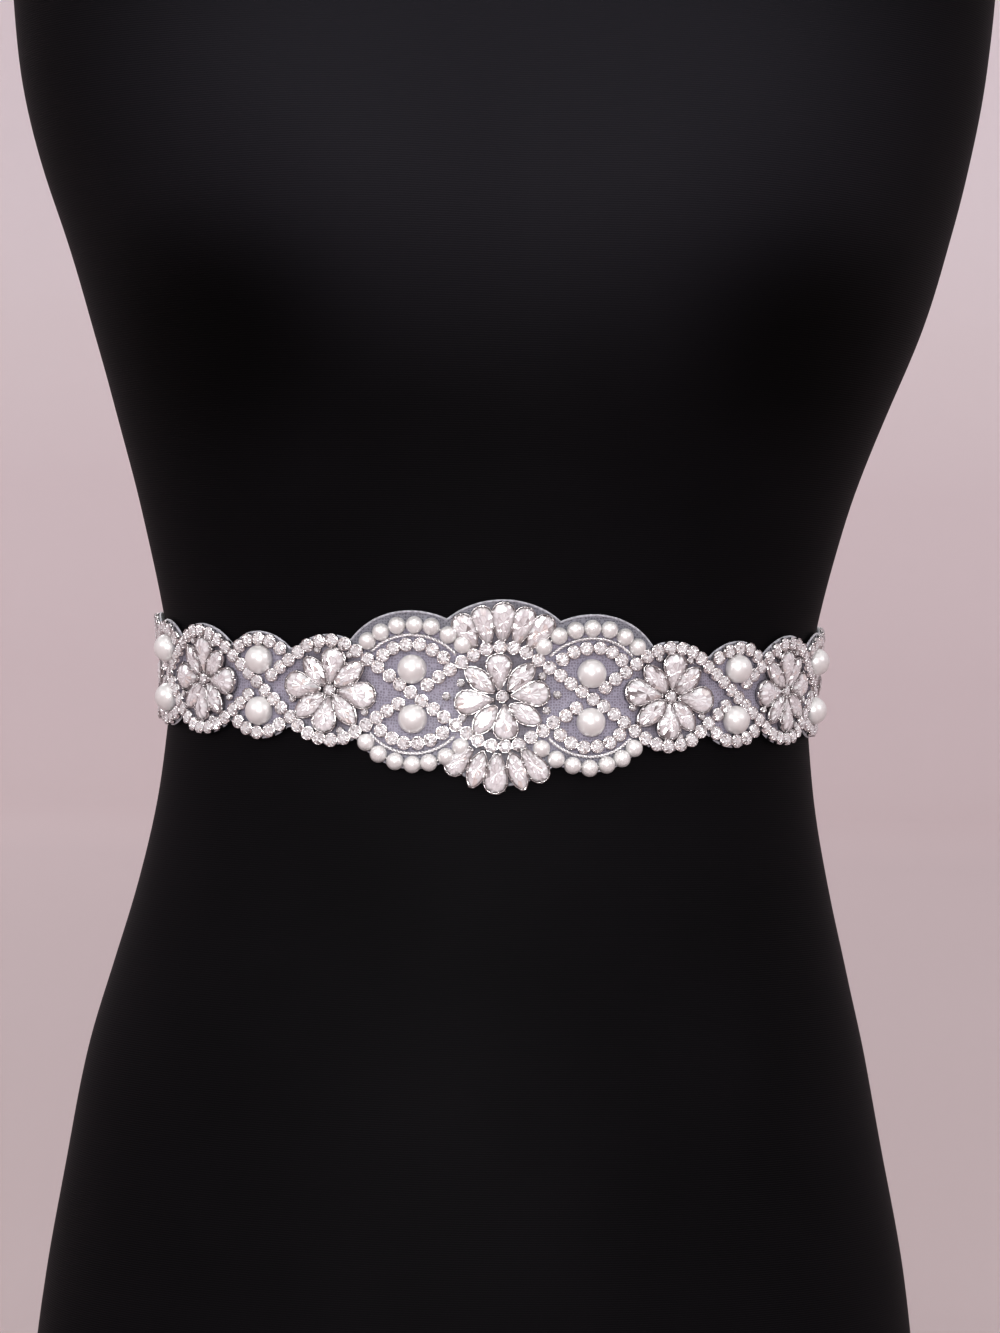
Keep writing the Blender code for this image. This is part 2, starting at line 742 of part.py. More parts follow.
def build_tail(name, side):
    """Hanging end of the ribbon, with two soft folds and a slanting cut."""
    top = BACK_RISE - KNOT_SIZE[1] / 2.0 - SEAM_GAP
    grid = []
    for column in range(TAIL_COLUMNS + 1):
        share = column / TAIL_COLUMNS
        spread = min(1.0, share / TAIL_SPREAD_SHARE)
        spread = spread * spread * (3.0 - 2.0 * spread)
        half = TAIL_ROOT_HALF_WIDTH + (RIBBON_HALF_WIDTH - TAIL_ROOT_HALF_WIDTH) * spread
        middle = TAIL_ROOT_X + (TAIL_END_X - TAIL_ROOT_X) * math.sin(share * math.pi / 2.0)
        points = []
        for row in range(TAIL_ROWS + 1):
            across = 2.0 * row / TAIL_ROWS - 1.0
            wave = 0.5 + 0.5 * math.cos(math.pi * (2.0 * across + TAIL_FOLD_DRIFT * share))
            lift = TAIL_FOLD_DEPTH * wave * (1.0 - TAIL_FOLD_FADE * share)
            level = top - share * (TAIL_LENGTH - TAIL_SLANT * (0.5 + 0.5 * across))
            points.append((side * (middle + half * across), level, TAIL_GAP + lift))
        grid.append(points)
    bm = bmesh.new()
    cloth_wall(bm, grid, CLOTH_THICKNESS)
    for vert in bm.verts:
        vert.co = on_back(*vert.co)
    add_object(name, bm, "satin_ivory")


# ---------------------------------------------------------------- assembly


def build_crossing(label, along):
    """Pearls and chain arches of one crossing."""
    for level, below in (("upper", False), ("lower", True)):
        sign = -1.0 if below else 1.0
        name = f"{level}_{label}"
        build_large_pearl(f"pearl_{name}", along, sign * LARGE_PEARL_UP)
        arch = arc_route(along, ARCH_CENTRE, ARCH_RADIUS, ARCH_HALF_ANGLE, below)
        build_chain(f"arch_{name}", arch)


def build_eye_trim(side_name, side):
    """Cord and small pearls round the crossing beside the middle flower."""
    half_angle = math.asin(CORD_HALF_SPAN / CORD_ARC_RADIUS)
    for level, below in (("upper", False), ("lower", True)):
        route = arc_route(side * EYE_AT, CORD_ARC_CENTRE, CORD_ARC_RADIUS, half_angle, below)
        points = resample(route, CORD_STEPS)
        bm = bmesh.new()
        ridge(bm, points, [(CORD_RADIUS, 2.0 * CORD_RADIUS)] * len(points), CORD_PROFILE)
        bend(bm)
        add_object(f"cord_{level}_{side_name}", bm, "cord_silver")
        row_name = f"pearl_row_{level}_{side_name}"
        build_pearl_row(row_name, side * EYE_AT, -side * SMALL_PEARL_SHIFT, below)


def main():
    """Builds the form, the sash on it and the tie at the back."""
    for thing in list(bpy.data.objects):
        bpy.data.objects.remove(thing, do_unlink=True)
    build_dress_form()
    build_net_ground()
    build_chains()
    build_flower("flower_middle", 0.0)
    build_fan("fan_upper", False)
    build_fan("fan_lower", True)
    for side_name, side in (("left", -1.0), ("right", 1.0)):
        for number, along in enumerate(FLOWER_AT, 1):
            build_flower(f"flower_{number}_{side_name}", side * along)
        for number, along in enumerate((EYE_AT,) + PAIR_AT, 1):
            build_crossing(f"{number}_{side_name}", side * along)
        build_eye_trim(side_name, side)
        build_ribbon(f"ribbon_{side_name}", side)
        build_tail(f"ribbon_tail_{side_name}", side)
    build_knot()


main()
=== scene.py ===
"""Visual model of a bridal sash that is tied round a limbless dress form.

Sizes are in millimetres, and levels are measured from the waist, until a finished piece is
put in its place in metres. The front faces -Y, +X is to the right of someone who looks at
the front, and +Z is up. Beadwork is drawn flat, as (along, up, out): along the waist from
the middle of the front, up from the middle line of the sash, and out from the form.
"""

import logging
import math
import random
from bisect import bisect_right
from contextlib import contextmanager
from dataclasses import dataclass, field
from enum import Enum
from itertools import accumulate
from typing import Callable, Iterator, Sequence

import bmesh
import bpy
import numpy as np
from mathutils import Matrix, Vector


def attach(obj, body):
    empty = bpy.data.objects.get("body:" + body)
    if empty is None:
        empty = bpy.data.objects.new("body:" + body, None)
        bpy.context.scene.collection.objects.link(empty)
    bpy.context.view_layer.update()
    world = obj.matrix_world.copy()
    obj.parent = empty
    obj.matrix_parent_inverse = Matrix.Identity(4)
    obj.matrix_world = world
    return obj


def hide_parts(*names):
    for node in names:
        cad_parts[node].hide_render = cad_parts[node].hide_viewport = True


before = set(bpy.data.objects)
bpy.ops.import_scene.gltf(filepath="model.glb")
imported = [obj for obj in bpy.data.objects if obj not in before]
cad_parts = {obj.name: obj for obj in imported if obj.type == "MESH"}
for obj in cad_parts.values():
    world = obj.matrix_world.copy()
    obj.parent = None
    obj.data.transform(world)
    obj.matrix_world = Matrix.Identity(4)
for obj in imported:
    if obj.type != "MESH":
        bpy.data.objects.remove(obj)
log = logging.getLogger("bridal_sash")

METRES_PER_MM = 0.001
FINE_DECIMALS = 4
SORT_AXIS = (1.0, 1.618, 2.718)
BODY = "root"
FORM_PIECE = "dress_form_jersey"
Flat = tuple[float, float]
Triple = tuple[float, float, float]
Outline = list[Flat]
Colour = Triple
Piece = bpy.types.Object
Socket = bpy.types.NodeSocket
Material = bpy.types.Material


class Named(Enum):
    """Choice whose name is a part of the pieces' names."""

    @property
    def word(self) -> str:
        """The choice's name in small letters."""
        return self.name.lower()


class Side(Named):
    """Side of the sash, as someone sees it who looks at the front."""

    LEFT = -1.0
    RIGHT = 1.0


class Level(Named):
    """Half of the band, over or under its middle line."""

    UPPER = 1.0
    LOWER = -1.0


def ease(share: float) -> float:
    """Share between 0 and 1 with a soft start and end."""
    return share * share * (3.0 - 2.0 * share)


# ---- the form and the band


@dataclass(frozen=True)
class FormShape:
    """Smooth shape of the torso. Each section: level, half width, front depth, back depth.

    Each lean: how far the torso leans to the right, at which level, and how far that spreads.
    """

    sections: tuple[tuple[float, float, float, float], ...] = (
        (-275.0, 143.0, 100.5, 118.5), (-270.0, 147.0, 104.0, 122.0),
        (-235.0, 148.5, 107.0, 129.0), (-195.0, 144.5, 107.0, 131.0),
        (-153.0, 137.0, 104.0, 126.0), (-119.0, 130.5, 100.5, 117.5),
        (-92.0, 123.5, 96.5, 108.0), (-65.0, 116.5, 92.0, 98.5),
        (-38.0, 111.0, 87.8, 90.0), (-12.0, 108.0, 85.5, 85.6),
        (0.0, 107.5, 85.2, 85.2), (12.0, 108.0, 85.7, 85.6),
        (29.0, 111.0, 88.0, 87.5), (50.0, 116.0, 92.5, 90.5),
        (70.0, 121.5, 98.0, 94.0), (97.0, 130.5, 106.0, 99.0),
        (124.0, 140.0, 112.0, 103.5), (150.0, 148.0, 115.5, 107.0),
        (175.0, 155.5, 115.5, 109.5), (200.0, 161.0, 112.5, 110.5),
        (225.0, 164.0, 107.5, 110.0), (250.0, 165.5, 101.0, 108.0),
        (275.0, 165.5, 94.0, 104.0), (300.0, 163.0, 86.5, 98.0),
        (322.0, 157.5, 78.5, 89.0), (338.0, 147.0, 70.0, 78.5),
        (350.0, 131.0, 62.5, 70.0), (361.0, 111.0, 57.0, 64.0),
        (371.0, 91.0, 54.0, 60.0), (381.0, 74.0, 52.0, 57.0),
        (394.0, 62.0, 50.5, 54.5), (412.0, 56.0, 50.0, 52.5),
        (440.0, 54.0, 50.0, 51.5), (458.0, 54.0, 50.0, 51.5),
        (462.0, 51.0, 47.0, 48.5),
    )
    waist_height: float = 275.0
    square_levels: Triple = (150.0, 260.0, 340.0)
    square_power: float = 2.5
    bust_level: float = 162.0
    bust_half_spacing: float = 68.0
    bust_rise: float = 15.0
    bust_spread: float = 52.0
    leans: tuple[Triple, ...] = ((3.1, 133.0, 45.0), (-1.4, -125.0, 45.0))

    def size(self, column: int, level: float) -> float:
        """Smooth value of one column of the sections.

        Args:
            column: 1 for the half width, 2 for the front depth, 3 for the back depth.
            level: Height above the waist.

        Returns:
            The size in millimetres.
        """
        level = min(max(level, self.sections[0][0]), self.sections[-1][0])
        last = len(self.sections) - 1
        row = min(bisect_right(self.sections, level, key=lambda section: section[0]), last) - 1
        before, start, end, after = (
            self.sections[min(max(row + step, 0), last)] for step in (-1, 0, 1, 2))
        rise, fall = ((high[column] - low[column]) / (high[0] - low[0])
                      for low, high in ((before, end), (start, after)))
        span = end[0] - start[0]
        share = (level - start[0]) / span
        rest = 1.0 - share
        value = start[column] * ease(rest) + end[column] * ease(share)
        return value + span * share * rest * (rise * rest - fall * share)

    def power(self, level: float) -> float:
        """Power of the superellipse: an ellipse at the waist, squarer at the armholes.

        Args:
            level: Height above the waist.

        Returns:
            The power.
        """
        low, middle, high = self.square_levels
        if level <= low or level >= high:
            return 2.0
        share = (level - low) / (middle - low) if level < middle else (high - level) / (high - middle)
        return 2.0 + (self.square_power - 2.0) * ease(share)

    def surface(self, turn: float, level: float) -> Vector:
        """Point of the form's skin.

        Args:
            turn: Turn from the front, in radians.
            level: Height above the waist.

        Returns:
            The point.
        """
        half_width = self.size(1, level)
        depth = self.size(2 if math.cos(turn) >= 0.0 else 3, level)
        shape = 2.0 / self.power(level)
        side, front = math.sin(turn), math.cos(turn)
        x = math.copysign(half_width * abs(side) ** shape, side)
        y = -math.copysign(depth * abs(front) ** shape, front)
        if front > 0.0:
            across = (abs(x) - self.bust_half_spacing) / self.bust_spread
            upward = (level - self.bust_level) / self.bust_spread
            rise = self.bust_rise * math.exp(-across * across - upward * upward)
            y -= rise * min(1.0, 2.0 * front)
        for lean, middle, spread in self.leans:
            x += lean * math.exp(-((level - middle) / spread) ** 2)
        return Vector((x, y, level))

    def point(self, turn: float, level: float, out: float) -> Vector:
        """Point over the form's skin, along the skin's own normal.

        Args:
            turn: Turn from the front, in radians.
            level: Height above the waist.
            out: Distance from the skin.

        Returns:
            The point.
        """
        around = self.surface(turn + 0.01, level) - self.surface(turn - 0.01, level)
        upward = self.surface(turn, level + 1.0) - self.surface(turn, level - 1.0)
        return self.surface(turn, level) + around.cross(upward).normalized() * out


@dataclass
class Band:
    """Carries what is drawn flat on to the sash's place round the form."""

    form: FormShape
    steps: int = 720
    back_rise: float = 14.0

    def __post_init__(self) -> None:
        """Measures the waist."""
        waist = [self.form.surface(math.tau * step / self.steps, 0.0) for step in range(self.steps + 1)]
        spans = ((end - start).length for start, end in zip(waist, waist[1:]))
        self.lengths = list(accumulate(spans, initial=0.0))
        self.half_waist = self.lengths[self.steps // 2]

    def turn(self, along: float) -> float:
        """Turn from the front to a place on the waist.

        Args:
            along: Distance along the waist.

        Returns:
            The turn in radians.
        """
        step = min(bisect_right(self.lengths, abs(along)) - 1, self.steps - 1)
        share = (abs(along) - self.lengths[step]) / (self.lengths[step + 1] - self.lengths[step])
        return math.copysign(math.tau * (step + share) / self.steps, along)

    def point(self, along: float, up: float, out: float) -> Vector:
        """Point of the band from its flat place. The band's middle line rises to the back.

        Args:
            along: Distance along the waist.
            up: Height over the middle line.
            out: Distance from the form's skin.

        Returns:
            The point.
        """
        turn = self.turn(along)
        middle_level = self.back_rise * (1.0 - math.cos(turn)) / 2.0
        return self.form.point(turn, middle_level + up, out)

    def back_point(self, x: float, level: float, out: float) -> Vector:
        """Point over the back of the form at a sideways distance and a level."""
        turn = math.pi - math.asin(x / self.form.size(1, level))
        return self.form.point(turn, level, out)

    def seat(self, along: float, up: float, out: float, spin: float = 0.0) -> Matrix:
        """Place of a small rigid thing that stands on the band.

        Args:
            along: Distance along the waist.
            up: Height over the middle line.
            out: Distance from the form's skin.
            spin: Clockwise turn, in radians, as seen from in front.

        Returns:
            The matrix that carries the thing, drawn in x and y with z outward, to its place.
        """
        origin = self.point(along, up, out)
        side = (self.point(along + 1.0, up, 0.0) - self.point(along - 1.0, up, 0.0)).normalized()
        outward = (self.point(along, up, 1.0) - self.point(along, up, 0.0)).normalized()
        upward = outward.cross(side)
        turned = Matrix((side, upward, outward)).transposed().to_4x4()
        return Matrix.Translation(origin) @ turned @ Matrix.Rotation(-spin, 4, "Z")


# ---- the workbench


class Bench:
    """Hand tools that work on one piece at a time."""

    @staticmethod
    def clear() -> None:
        """Leaves nothing selected."""
        bpy.ops.object.select_all(action="DESELECT")

    @classmethod
    def take(cls, *pieces: Piece) -> None:
        """Selects pieces alone, with the first one active.

        Args:
            *pieces: The pieces.
        """
        cls.clear()
        for piece in pieces:
            piece.select_set(True)
        bpy.context.view_layer.objects.active = pieces[0]

    @staticmethod
    def added(name: str) -> Piece:
        """Names the piece that was just added, with its origin at the world's.

        Args:
            name: Its name, and its mesh's.

        Returns:
            The piece.
        """
        bpy.ops.object.transform_apply(location=True, rotation=False, scale=True)
        piece = bpy.context.object
        piece.name = piece.data.name = name
        return piece

    @classmethod
    @contextmanager
    def editing(cls, piece: Piece, kind: str = "FACE") -> Iterator[None]:
        """Opens a piece in edit mode with everything selected, and closes it again.

        Args:
            piece: The piece.
            kind: What is selected, as Blender names it.

        Returns:
            The time in which the piece is open.
        """
        cls.take(piece)
        bpy.ops.object.mode_set(mode="EDIT")
        bpy.ops.mesh.select_mode(type=kind)
        bpy.ops.mesh.select_all(action="SELECT")
        yield
        bpy.ops.object.mode_set(mode="OBJECT")

    @staticmethod
    def pick_top() -> None:
        """Selects the upward faces of the piece in edit mode."""
        mesh = bpy.context.edit_object.data
        work = bmesh.from_edit_mesh(mesh)
        for face in work.faces:
            face.select_set(face.normal.z > 0.9)
        work.select_flush_mode()
        bmesh.update_edit_mesh(mesh)

    @classmethod
    def face_out(cls, piece: Piece) -> None:
        """Turns every face of a piece outward."""
        with cls.editing(piece):
            bpy.ops.mesh.normals_make_consistent(inside=False)

    @classmethod
    def smooth(cls, piece: Piece, degrees: float) -> None:
        """Shades a piece smooth, but for edges sharper than an angle."""
        cls.take(piece)
        bpy.ops.object.shade_smooth_by_angle(angle=math.radians(degrees))

    @classmethod
    def thicken(cls, piece: Piece, thickness: float, offset: float) -> None:
        """Gives a thin cloth its thickness.

        Args:
            piece: The cloth.
            thickness: The thickness.
            offset: 1 to grow outward from the cloth, 0 to grow to both sides.
        """
        cls.take(piece)
        modifier = piece.modifiers.new("thickness", "SOLIDIFY")
        modifier.thickness = thickness
        modifier.offset = offset
        bpy.ops.object.modifier_apply(modifier=modifier.name)

    @classmethod
    def join(cls, name: str, parts: Sequence[Piece]) -> Piece:
        """Joins parts into one piece.

        Args:
            name: Its name.
            parts: What it is joined from.

        Returns:
            The piece.
        """
        cls.take(*parts)
        bpy.ops.object.join()
        parts[0].name = parts[0].data.name = name
        return parts[0]

    @staticmethod
    def reshape(piece: Piece, move: Callable[[Vector], Vector]) -> None:
        """Moves each point of a piece.

        Args:
            piece: The piece.
            move: Where a point goes.
        """
        for vertex in piece.data.vertices:
            vertex.co = move(vertex.co)
        piece.data.update()

    @staticmethod
    def unwrap(piece: Piece, flat: Outline) -> None:
        """Gives a cloth the UV map "flat", in metres.

        Args:
            piece: The cloth.
            flat: Place on the flat cloth of each of its points, in millimetres.
        """
        layer = piece.data.uv_layers[0]
        layer.name = "flat"
        for loop in piece.data.loops:
            layer.uv[loop.index].vector = Vector(flat[loop.vertex_index]) * METRES_PER_MM

    @classmethod
    def grid(cls, name: str, columns: int, rows: int) -> Piece:
        """Adds a flat grid whose x and y run from 0 to 1.

        Args:
            name: Name of the piece.
            columns: Faces along x.
            rows: Faces along y.

        Returns:
            The grid.
        """
        cls.clear()
        bpy.ops.mesh.primitive_grid_add(
            x_subdivisions=columns, y_subdivisions=rows, size=1.0, location=(0.5, 0.5, 0.0))
        return cls.added(name)

    @classmethod
    def tube(cls, name: str, points: Sequence[Vector], radius: float, closed: bool = False,
             sides: int = 1) -> Piece:
        """Makes a round tube through points.

        Args:
            name: Name of the piece.
            points: Points of its middle line.
            radius: Radius of the tube.
            closed: Whether its two ends meet.
            sides: Bevel resolution of its section.

        Returns:
            The tube as a mesh.
        """
        curve = bpy.data.curves.new(name, "CURVE")
        curve.dimensions = "3D"
        curve.bevel_depth = radius
        curve.bevel_resolution = sides
        curve.use_fill_caps = True
        spline = curve.splines.new("POLY")
        spline.points.add(len(points) - 1)
        for place, point in zip(spline.points, points):
            place.co = (*point, 1.0)
        spline.use_cyclic_u = closed
        piece = bpy.data.objects.new(name, curve)
        bpy.context.collection.objects.link(piece)
        cls.take(piece)
        bpy.ops.object.convert(target="MESH")
        return bpy.context.object

    @staticmethod
    def scatter(name: str, pattern: Piece, places: Sequence[Matrix], seed: int = 0) -> Piece:
        """Copies a modelled pattern to many places as one mesh.

        Edit mode leaves points and faces in an order that differs from run to run, so they are
        first put in order along a slanting axis. A smooth four-sided face keeps its diagonal.

        Args:
            name: Name of the piece.
            pattern: What is copied. Its UV maps go with each copy.
            places: One matrix for each copy.
            seed: Start of the numbers that tell one copy from the next.

        Returns:
            The piece, with a number for each copy in the attribute "copy".
        """
        source = pattern.data
        count = len(source.vertices)
        base = np.empty(count * 3)
        source.vertices.foreach_get("co", base)
        base = base.reshape(-1, 3).round(FINE_DECIMALS)
        order = np.argsort(base @ SORT_AXIS)
        base, rank = base[order], np.argsort(order).tolist()
        rounds = []
        for face in source.polygons:
            corners, loops = [rank[vertex] for vertex in face.vertices], list(face.loop_indices)
            kept = face.use_smooth and len(corners) == 4
            first = corners.index(min(corners[::2] if kept else corners))
            rounds.append((corners[first:] + corners[:first], loops[first:] + loops[:first],
                           face.use_smooth))
        faces, loops, smooth = zip(*sorted(rounds))
        points, polygons = [], []
        for index, place in enumerate(places):
            matrix = np.array(place)
            points.append(base @ matrix[:3, :3].T + matrix[:3, 3])
            polygons.extend([corner + index * count for corner in face] for face in faces)
        mesh = bpy.data.meshes.new(name)
        mesh.from_pydata(np.concatenate(points).tolist(), [], polygons)
        mesh.polygons.foreach_set("use_smooth", smooth * len(places))
        for given in source.uv_layers:
            layer = np.empty(len(source.loops) * 2)
            given.uv.foreach_get("vector", layer)
            layer = layer.reshape(-1, 2)[np.concatenate(loops)].round(FINE_DECIMALS).ravel()
            copied = mesh.uv_layers.new(name=given.name)
            copied.uv.foreach_set("vector", np.tile(layer, len(places)))
        numbers = np.repeat(np.arange(len(places)) + seed, len(faces)).astype(float)
        mesh.attributes.new("copy", "FLOAT", "FACE").data.foreach_set("value", numbers)
        piece = bpy.data.objects.new(name, mesh)
        bpy.context.collection.objects.link(piece)
        return piece


# ---- finishes


class Desk:
    """Node tree of one material, round a Principled shader."""

    def __init__(self, name: str) -> None:
        """Starts the material.

        Args:
            name: The material's name.
        """
        self.material = bpy.data.materials.new(name)
        self.material.use_nodes = True
        self.nodes = self.material.node_tree.nodes
        self.links = self.material.node_tree.links
        self.shader = self.nodes["Principled BSDF"]

    def set(self, **values: object) -> None:
        """Sets or links the shader's own sockets, by their names with underscores."""
        for name, value in values.items():
            self.fill(self.shader.inputs[name.replace("_", " ")], value)

    def fill(self, socket: Socket, value: object) -> None:
        """Links a socket from a result, or sets it to a constant.

        Args:
            socket: The socket.
            value: A result of another node, or a value.
        """
        if isinstance(value, Socket):
            self.links.new(value, socket)
        else:
            socket.default_value = value

    def add(self, kind: str, inputs: dict[str | int, object] | None = None,
            **settings: object) -> bpy.types.Node:
        """Adds a node.

        Args:
            kind: Node type without its "ShaderNode" prefix.
            inputs: Sockets by name or number, each with a value or the socket it links from.
            **settings: The node's own settings.

        Returns:
            The node.
        """
        node = self.nodes.new("ShaderNode" + kind)
        for name, value in settings.items():
            setattr(node, name, value)
        for name, value in (inputs or {}).items():
            self.fill(node.inputs[name], value)
        return node

    def place(self) -> Socket:
        """Place in the object's own coordinates."""
        return self.add("TexCoord").outputs["Object"]

    def flat(self, name: str = "flat") -> Socket:
        """Place in a UV map."""
        return self.add("UVMap", uv_map=name).outputs["UV"]

    def mark(self, name: str) -> Socket:
        """Value of an attribute."""
        return self.add("Attribute", attribute_name=name).outputs["Fac"]

    def noise(self, place: Socket, scale: float, detail: float) -> Socket:
        """Cloudy noise over a place."""
        node = self.add("TexNoise", {"Vector": place, "Scale": scale, "Detail": detail})
        return node.outputs["Fac"]

    def math(self, operation: str, *values: object) -> Socket:
        """Result of a Math node over sockets or numbers."""
        return self.add("Math", dict(enumerate(values)), operation=operation).outputs[0]

    def vector(self, operation: str, *values: object) -> Socket:
        """Result of a Vector Math node over sockets or vectors."""
        node = self.add("VectorMath", dict(enumerate(values)), operation=operation)
        return node.outputs["Value" if operation in ("LENGTH", "DISTANCE") else "Vector"]

    def share(self, value: Socket, given: Flat, wanted: Flat = (0.0, 1.0),
              kind: str = "LINEAR") -> Socket:
        """Value carried from one range to another.

        Args:
            value: The value.
            given: The range that it comes in.
            wanted: The range that it goes to.
            kind: How it goes between the two ends, as Blender names it.

        Returns:
            The new value.
        """
        ends = dict(zip(("From Min", "From Max", "To Min", "To Max"), (*given, *wanted)))
        node = self.add("MapRange", {"Value": value, **ends}, interpolation_type=kind)
        return node.outputs["Result"]

    def ramp(self, source: Socket, stops: Sequence[tuple[float, Colour]]) -> Socket:
        """Colour from a ramp.

        Args:
            source: Place on the ramp.
            stops: The places and colours of its stops.

        Returns:
            The colour.
        """
        node = self.add("ValToRGB", {"Fac": source})
        elements = node.color_ramp.elements
        while len(elements) < len(stops):
            elements.new(0.5)
        for element, (place, colour) in zip(elements, stops):
            element.position = place
            element.color = (*colour, 1.0)
        return node.outputs["Color"]

    def mix(self, factor: object, first: object, second: object) -> Socket:
        """Mix of two colours.

        Args:
            factor: Share of the second colour.
            first: The first colour, a socket or a plain colour.
            second: The second colour, a socket or a plain colour.

        Returns:
            The mixed colour.
        """
        pair = [value if isinstance(value, Socket) else (*value, 1.0) for value in (first, second)]
        node = self.add("Mix", data_type="RGBA")
        ends = [socket for socket in node.inputs if socket.type == "RGBA"]
        for socket, value in zip((node.inputs["Factor"], *ends), (factor, *pair)):
            self.fill(socket, value)
        return next(socket for socket in node.outputs if socket.type == "RGBA")

    def bump(self, height: Socket, strength: float, distance: float) -> None:
        """Gives the surface a fine relief from a height."""
        node = self.add("Bump", {"Height": height, "Strength": strength, "Distance": distance})
        self.set(Normal=node.outputs["Normal"])


@dataclass(frozen=True)
class Jersey:
    """Smooth black knitted jersey with a cloudy tone, a painted sheen on the upper chest and painted
    shade under the bust.
    """

    colour: Colour = (0.0016, 0.0014, 0.0018)
    worn_colour: Colour = (0.0024, 0.0021, 0.0027)
    # Painted sheen: a paler spot on the upper chest.
    stretched_colour: Colour = (0.0080, 0.0076, 0.0098)
    stretched_at: Colour = (0.0, -0.13, 0.47)
    # Painted shade: darker spots under both sides of the bust.
    slack_colour: Colour = (0.0003, 0.0002, 0.0003)
    slack_at: Colour = (0.098, -0.07, 0.388)
    rib_pitch: float = 0.0007

    def material(self) -> Material:
        """Makes the material.

        Returns:
            The material.
        """
        desk = Desk("jersey_black")
        place = desk.place()
        cloud = desk.noise(place, 14.0, 3.0)
        plain = desk.ramp(cloud, ((0.35, self.colour), (0.7, self.worn_colour)))
        # Painted sheen on the upper chest.
        painted_sheen = self.near(desk, place, (0.45, 1.0, 1.0), self.stretched_at, (0.115, 0.03))
        paler = desk.mix(painted_sheen, plain, self.stretched_colour)
        # Painted shade under both sides of the bust, mirrored across the middle.
        front = desk.vector("MULTIPLY", desk.vector("ABSOLUTE", place), (1.0, -1.0, 1.0))
        painted_shade = self.near(desk, front, (0.8, 0.5, 1.0), self.slack_at, (0.055, 0.01))
        desk.set(Base_Color=desk.mix(painted_shade, paler, self.slack_colour))
        ribs = desk.add("TexWave", {"Vector": place, "Scale": 0.314 / self.rib_pitch,
                                    "Distortion": 0.6}, bands_direction="Z")
        desk.bump(ribs.outputs["Fac"], 0.25, 0.0002)
        desk.set(Roughness=0.62, Specular_IOR_Level=0.03)
        return desk.material

    @staticmethod
    def near(desk: Desk, place: Socket, weights: Colour, spot: Colour, reach: Flat) -> Socket:
        """Share that grows from 0 to 1 towards a spot.

        Args:
            desk: The nodes.
            place: The point looked at.
            weights: How much each direction counts.
            spot: The spot.
            reach: Distances at which the share is 0 and 1.

        Returns:
            The share.
        """
        centre = tuple(a * b for a, b in zip(weights, spot))
        apart = desk.vector("DISTANCE", desk.vector("MULTIPLY", place, weights), centre)
        return desk.share(apart, reach, kind="SMOOTHSTEP")


@dataclass(frozen=True)
class Net:
    """Silvery net over the black jersey.

    The attribute "rim" is the distance to its edge, and "shade" is 1 under the tall stones.
    """

    thread: Colour = (0.268, 0.252, 0.318)
    opening: Colour = (0.147, 0.135, 0.175)
    shaded: Colour = (0.055, 0.045, 0.055)
    shade_share: float = 0.72
    rim_thread: Colour = (0.17, 0.17, 0.20)
    rim_opening: Colour = (0.07, 0.07, 0.085)
    rim_reach: Flat = (2.5, 5.0)
    cell: float = 0.0009

    def material(self) -> Material:
        """Makes the material.

        Returns:
            The material.
        """
        desk = Desk("net_silver")
        place = desk.flat()
        cells = desk.add("TexVoronoi", {"Vector": place, "Scale": 1.0 / self.cell,
                                        "Randomness": 0.45}, feature="DISTANCE_TO_EDGE")
        wide = desk.math("MULTIPLY_ADD", desk.noise(place, 220.0, 2.0), 0.16, 0.10)
        thread = desk.math("LESS_THAN", cells.outputs["Distance"], wide)
        inner = desk.ramp(thread, ((0.0, self.opening), (1.0, self.thread)))
        outer = desk.ramp(thread, ((0.0, self.rim_opening), (1.0, self.rim_thread)))
        colour = desk.mix(desk.share(desk.mark("rim"), self.rim_reach), outer, inner)
        shade = desk.math("MULTIPLY", desk.mark("shade"), self.shade_share)
        desk.set(Base_Color=desk.mix(shade, colour, self.shaded))
        desk.bump(thread, 0.35, 0.0002)
        desk.set(Roughness=0.48, Specular_IOR_Level=0.4, Sheen_Weight=0.25, Sheen_Roughness=0.4)
        return desk.material


@dataclass(frozen=True)
class Grained:
    """Plain finish with a fine grain from one tone to another.

    Each stop is a value of the grain, for the low and the high tone. The relief is the bump's
    strength and distance, and the polish holds constants of the shader.
    """

    name: str
    low: Colour
    high: Colour
    stops: Flat
    scale: float
    detail: float
    relief: Flat
    polish: tuple[tuple[str, float], ...]

    def grain(self, desk: Desk) -> Socket:
        """Grain in the object's own coordinates."""
        return desk.noise(desk.place(), self.scale, self.detail)

    def wear(self, desk: Desk, grain: Socket) -> None:
        """Lets the grain show in the gloss, where a finish does so."""

    def material(self) -> Material:
        """Makes the material.

        Returns:
            The material.
        """
        desk = Desk(self.name)
        grain = self.grain(desk)
        tones = tuple(zip(self.stops, (self.low, self.high)))
        desk.set(Base_Color=desk.ramp(grain, tones))
        if any(self.relief):
            desk.bump(grain, *self.relief)
        self.wear(desk, grain)
        desk.set(**dict(self.polish))
        return desk.material


@dataclass(frozen=True)
class TurnedEdge(Grained):
    """Turned edge of the net: more layers, so paler than the net itself."""

    name: str = "net_edge"
    low: Colour = (0.231, 0.231, 0.2585)
    high: Colour = (0.42, 0.42, 0.47)
    stops: Flat = (0.35, 0.6)
    scale: float = 900.0
    detail: float = 2.0
    relief: Flat = (0.4, 0.0002)
    polish: tuple[tuple[str, float], ...] = (
        ("Roughness", 0.4), ("Specular_IOR_Level", 0.5), ("Sheen_Weight", 0.3))


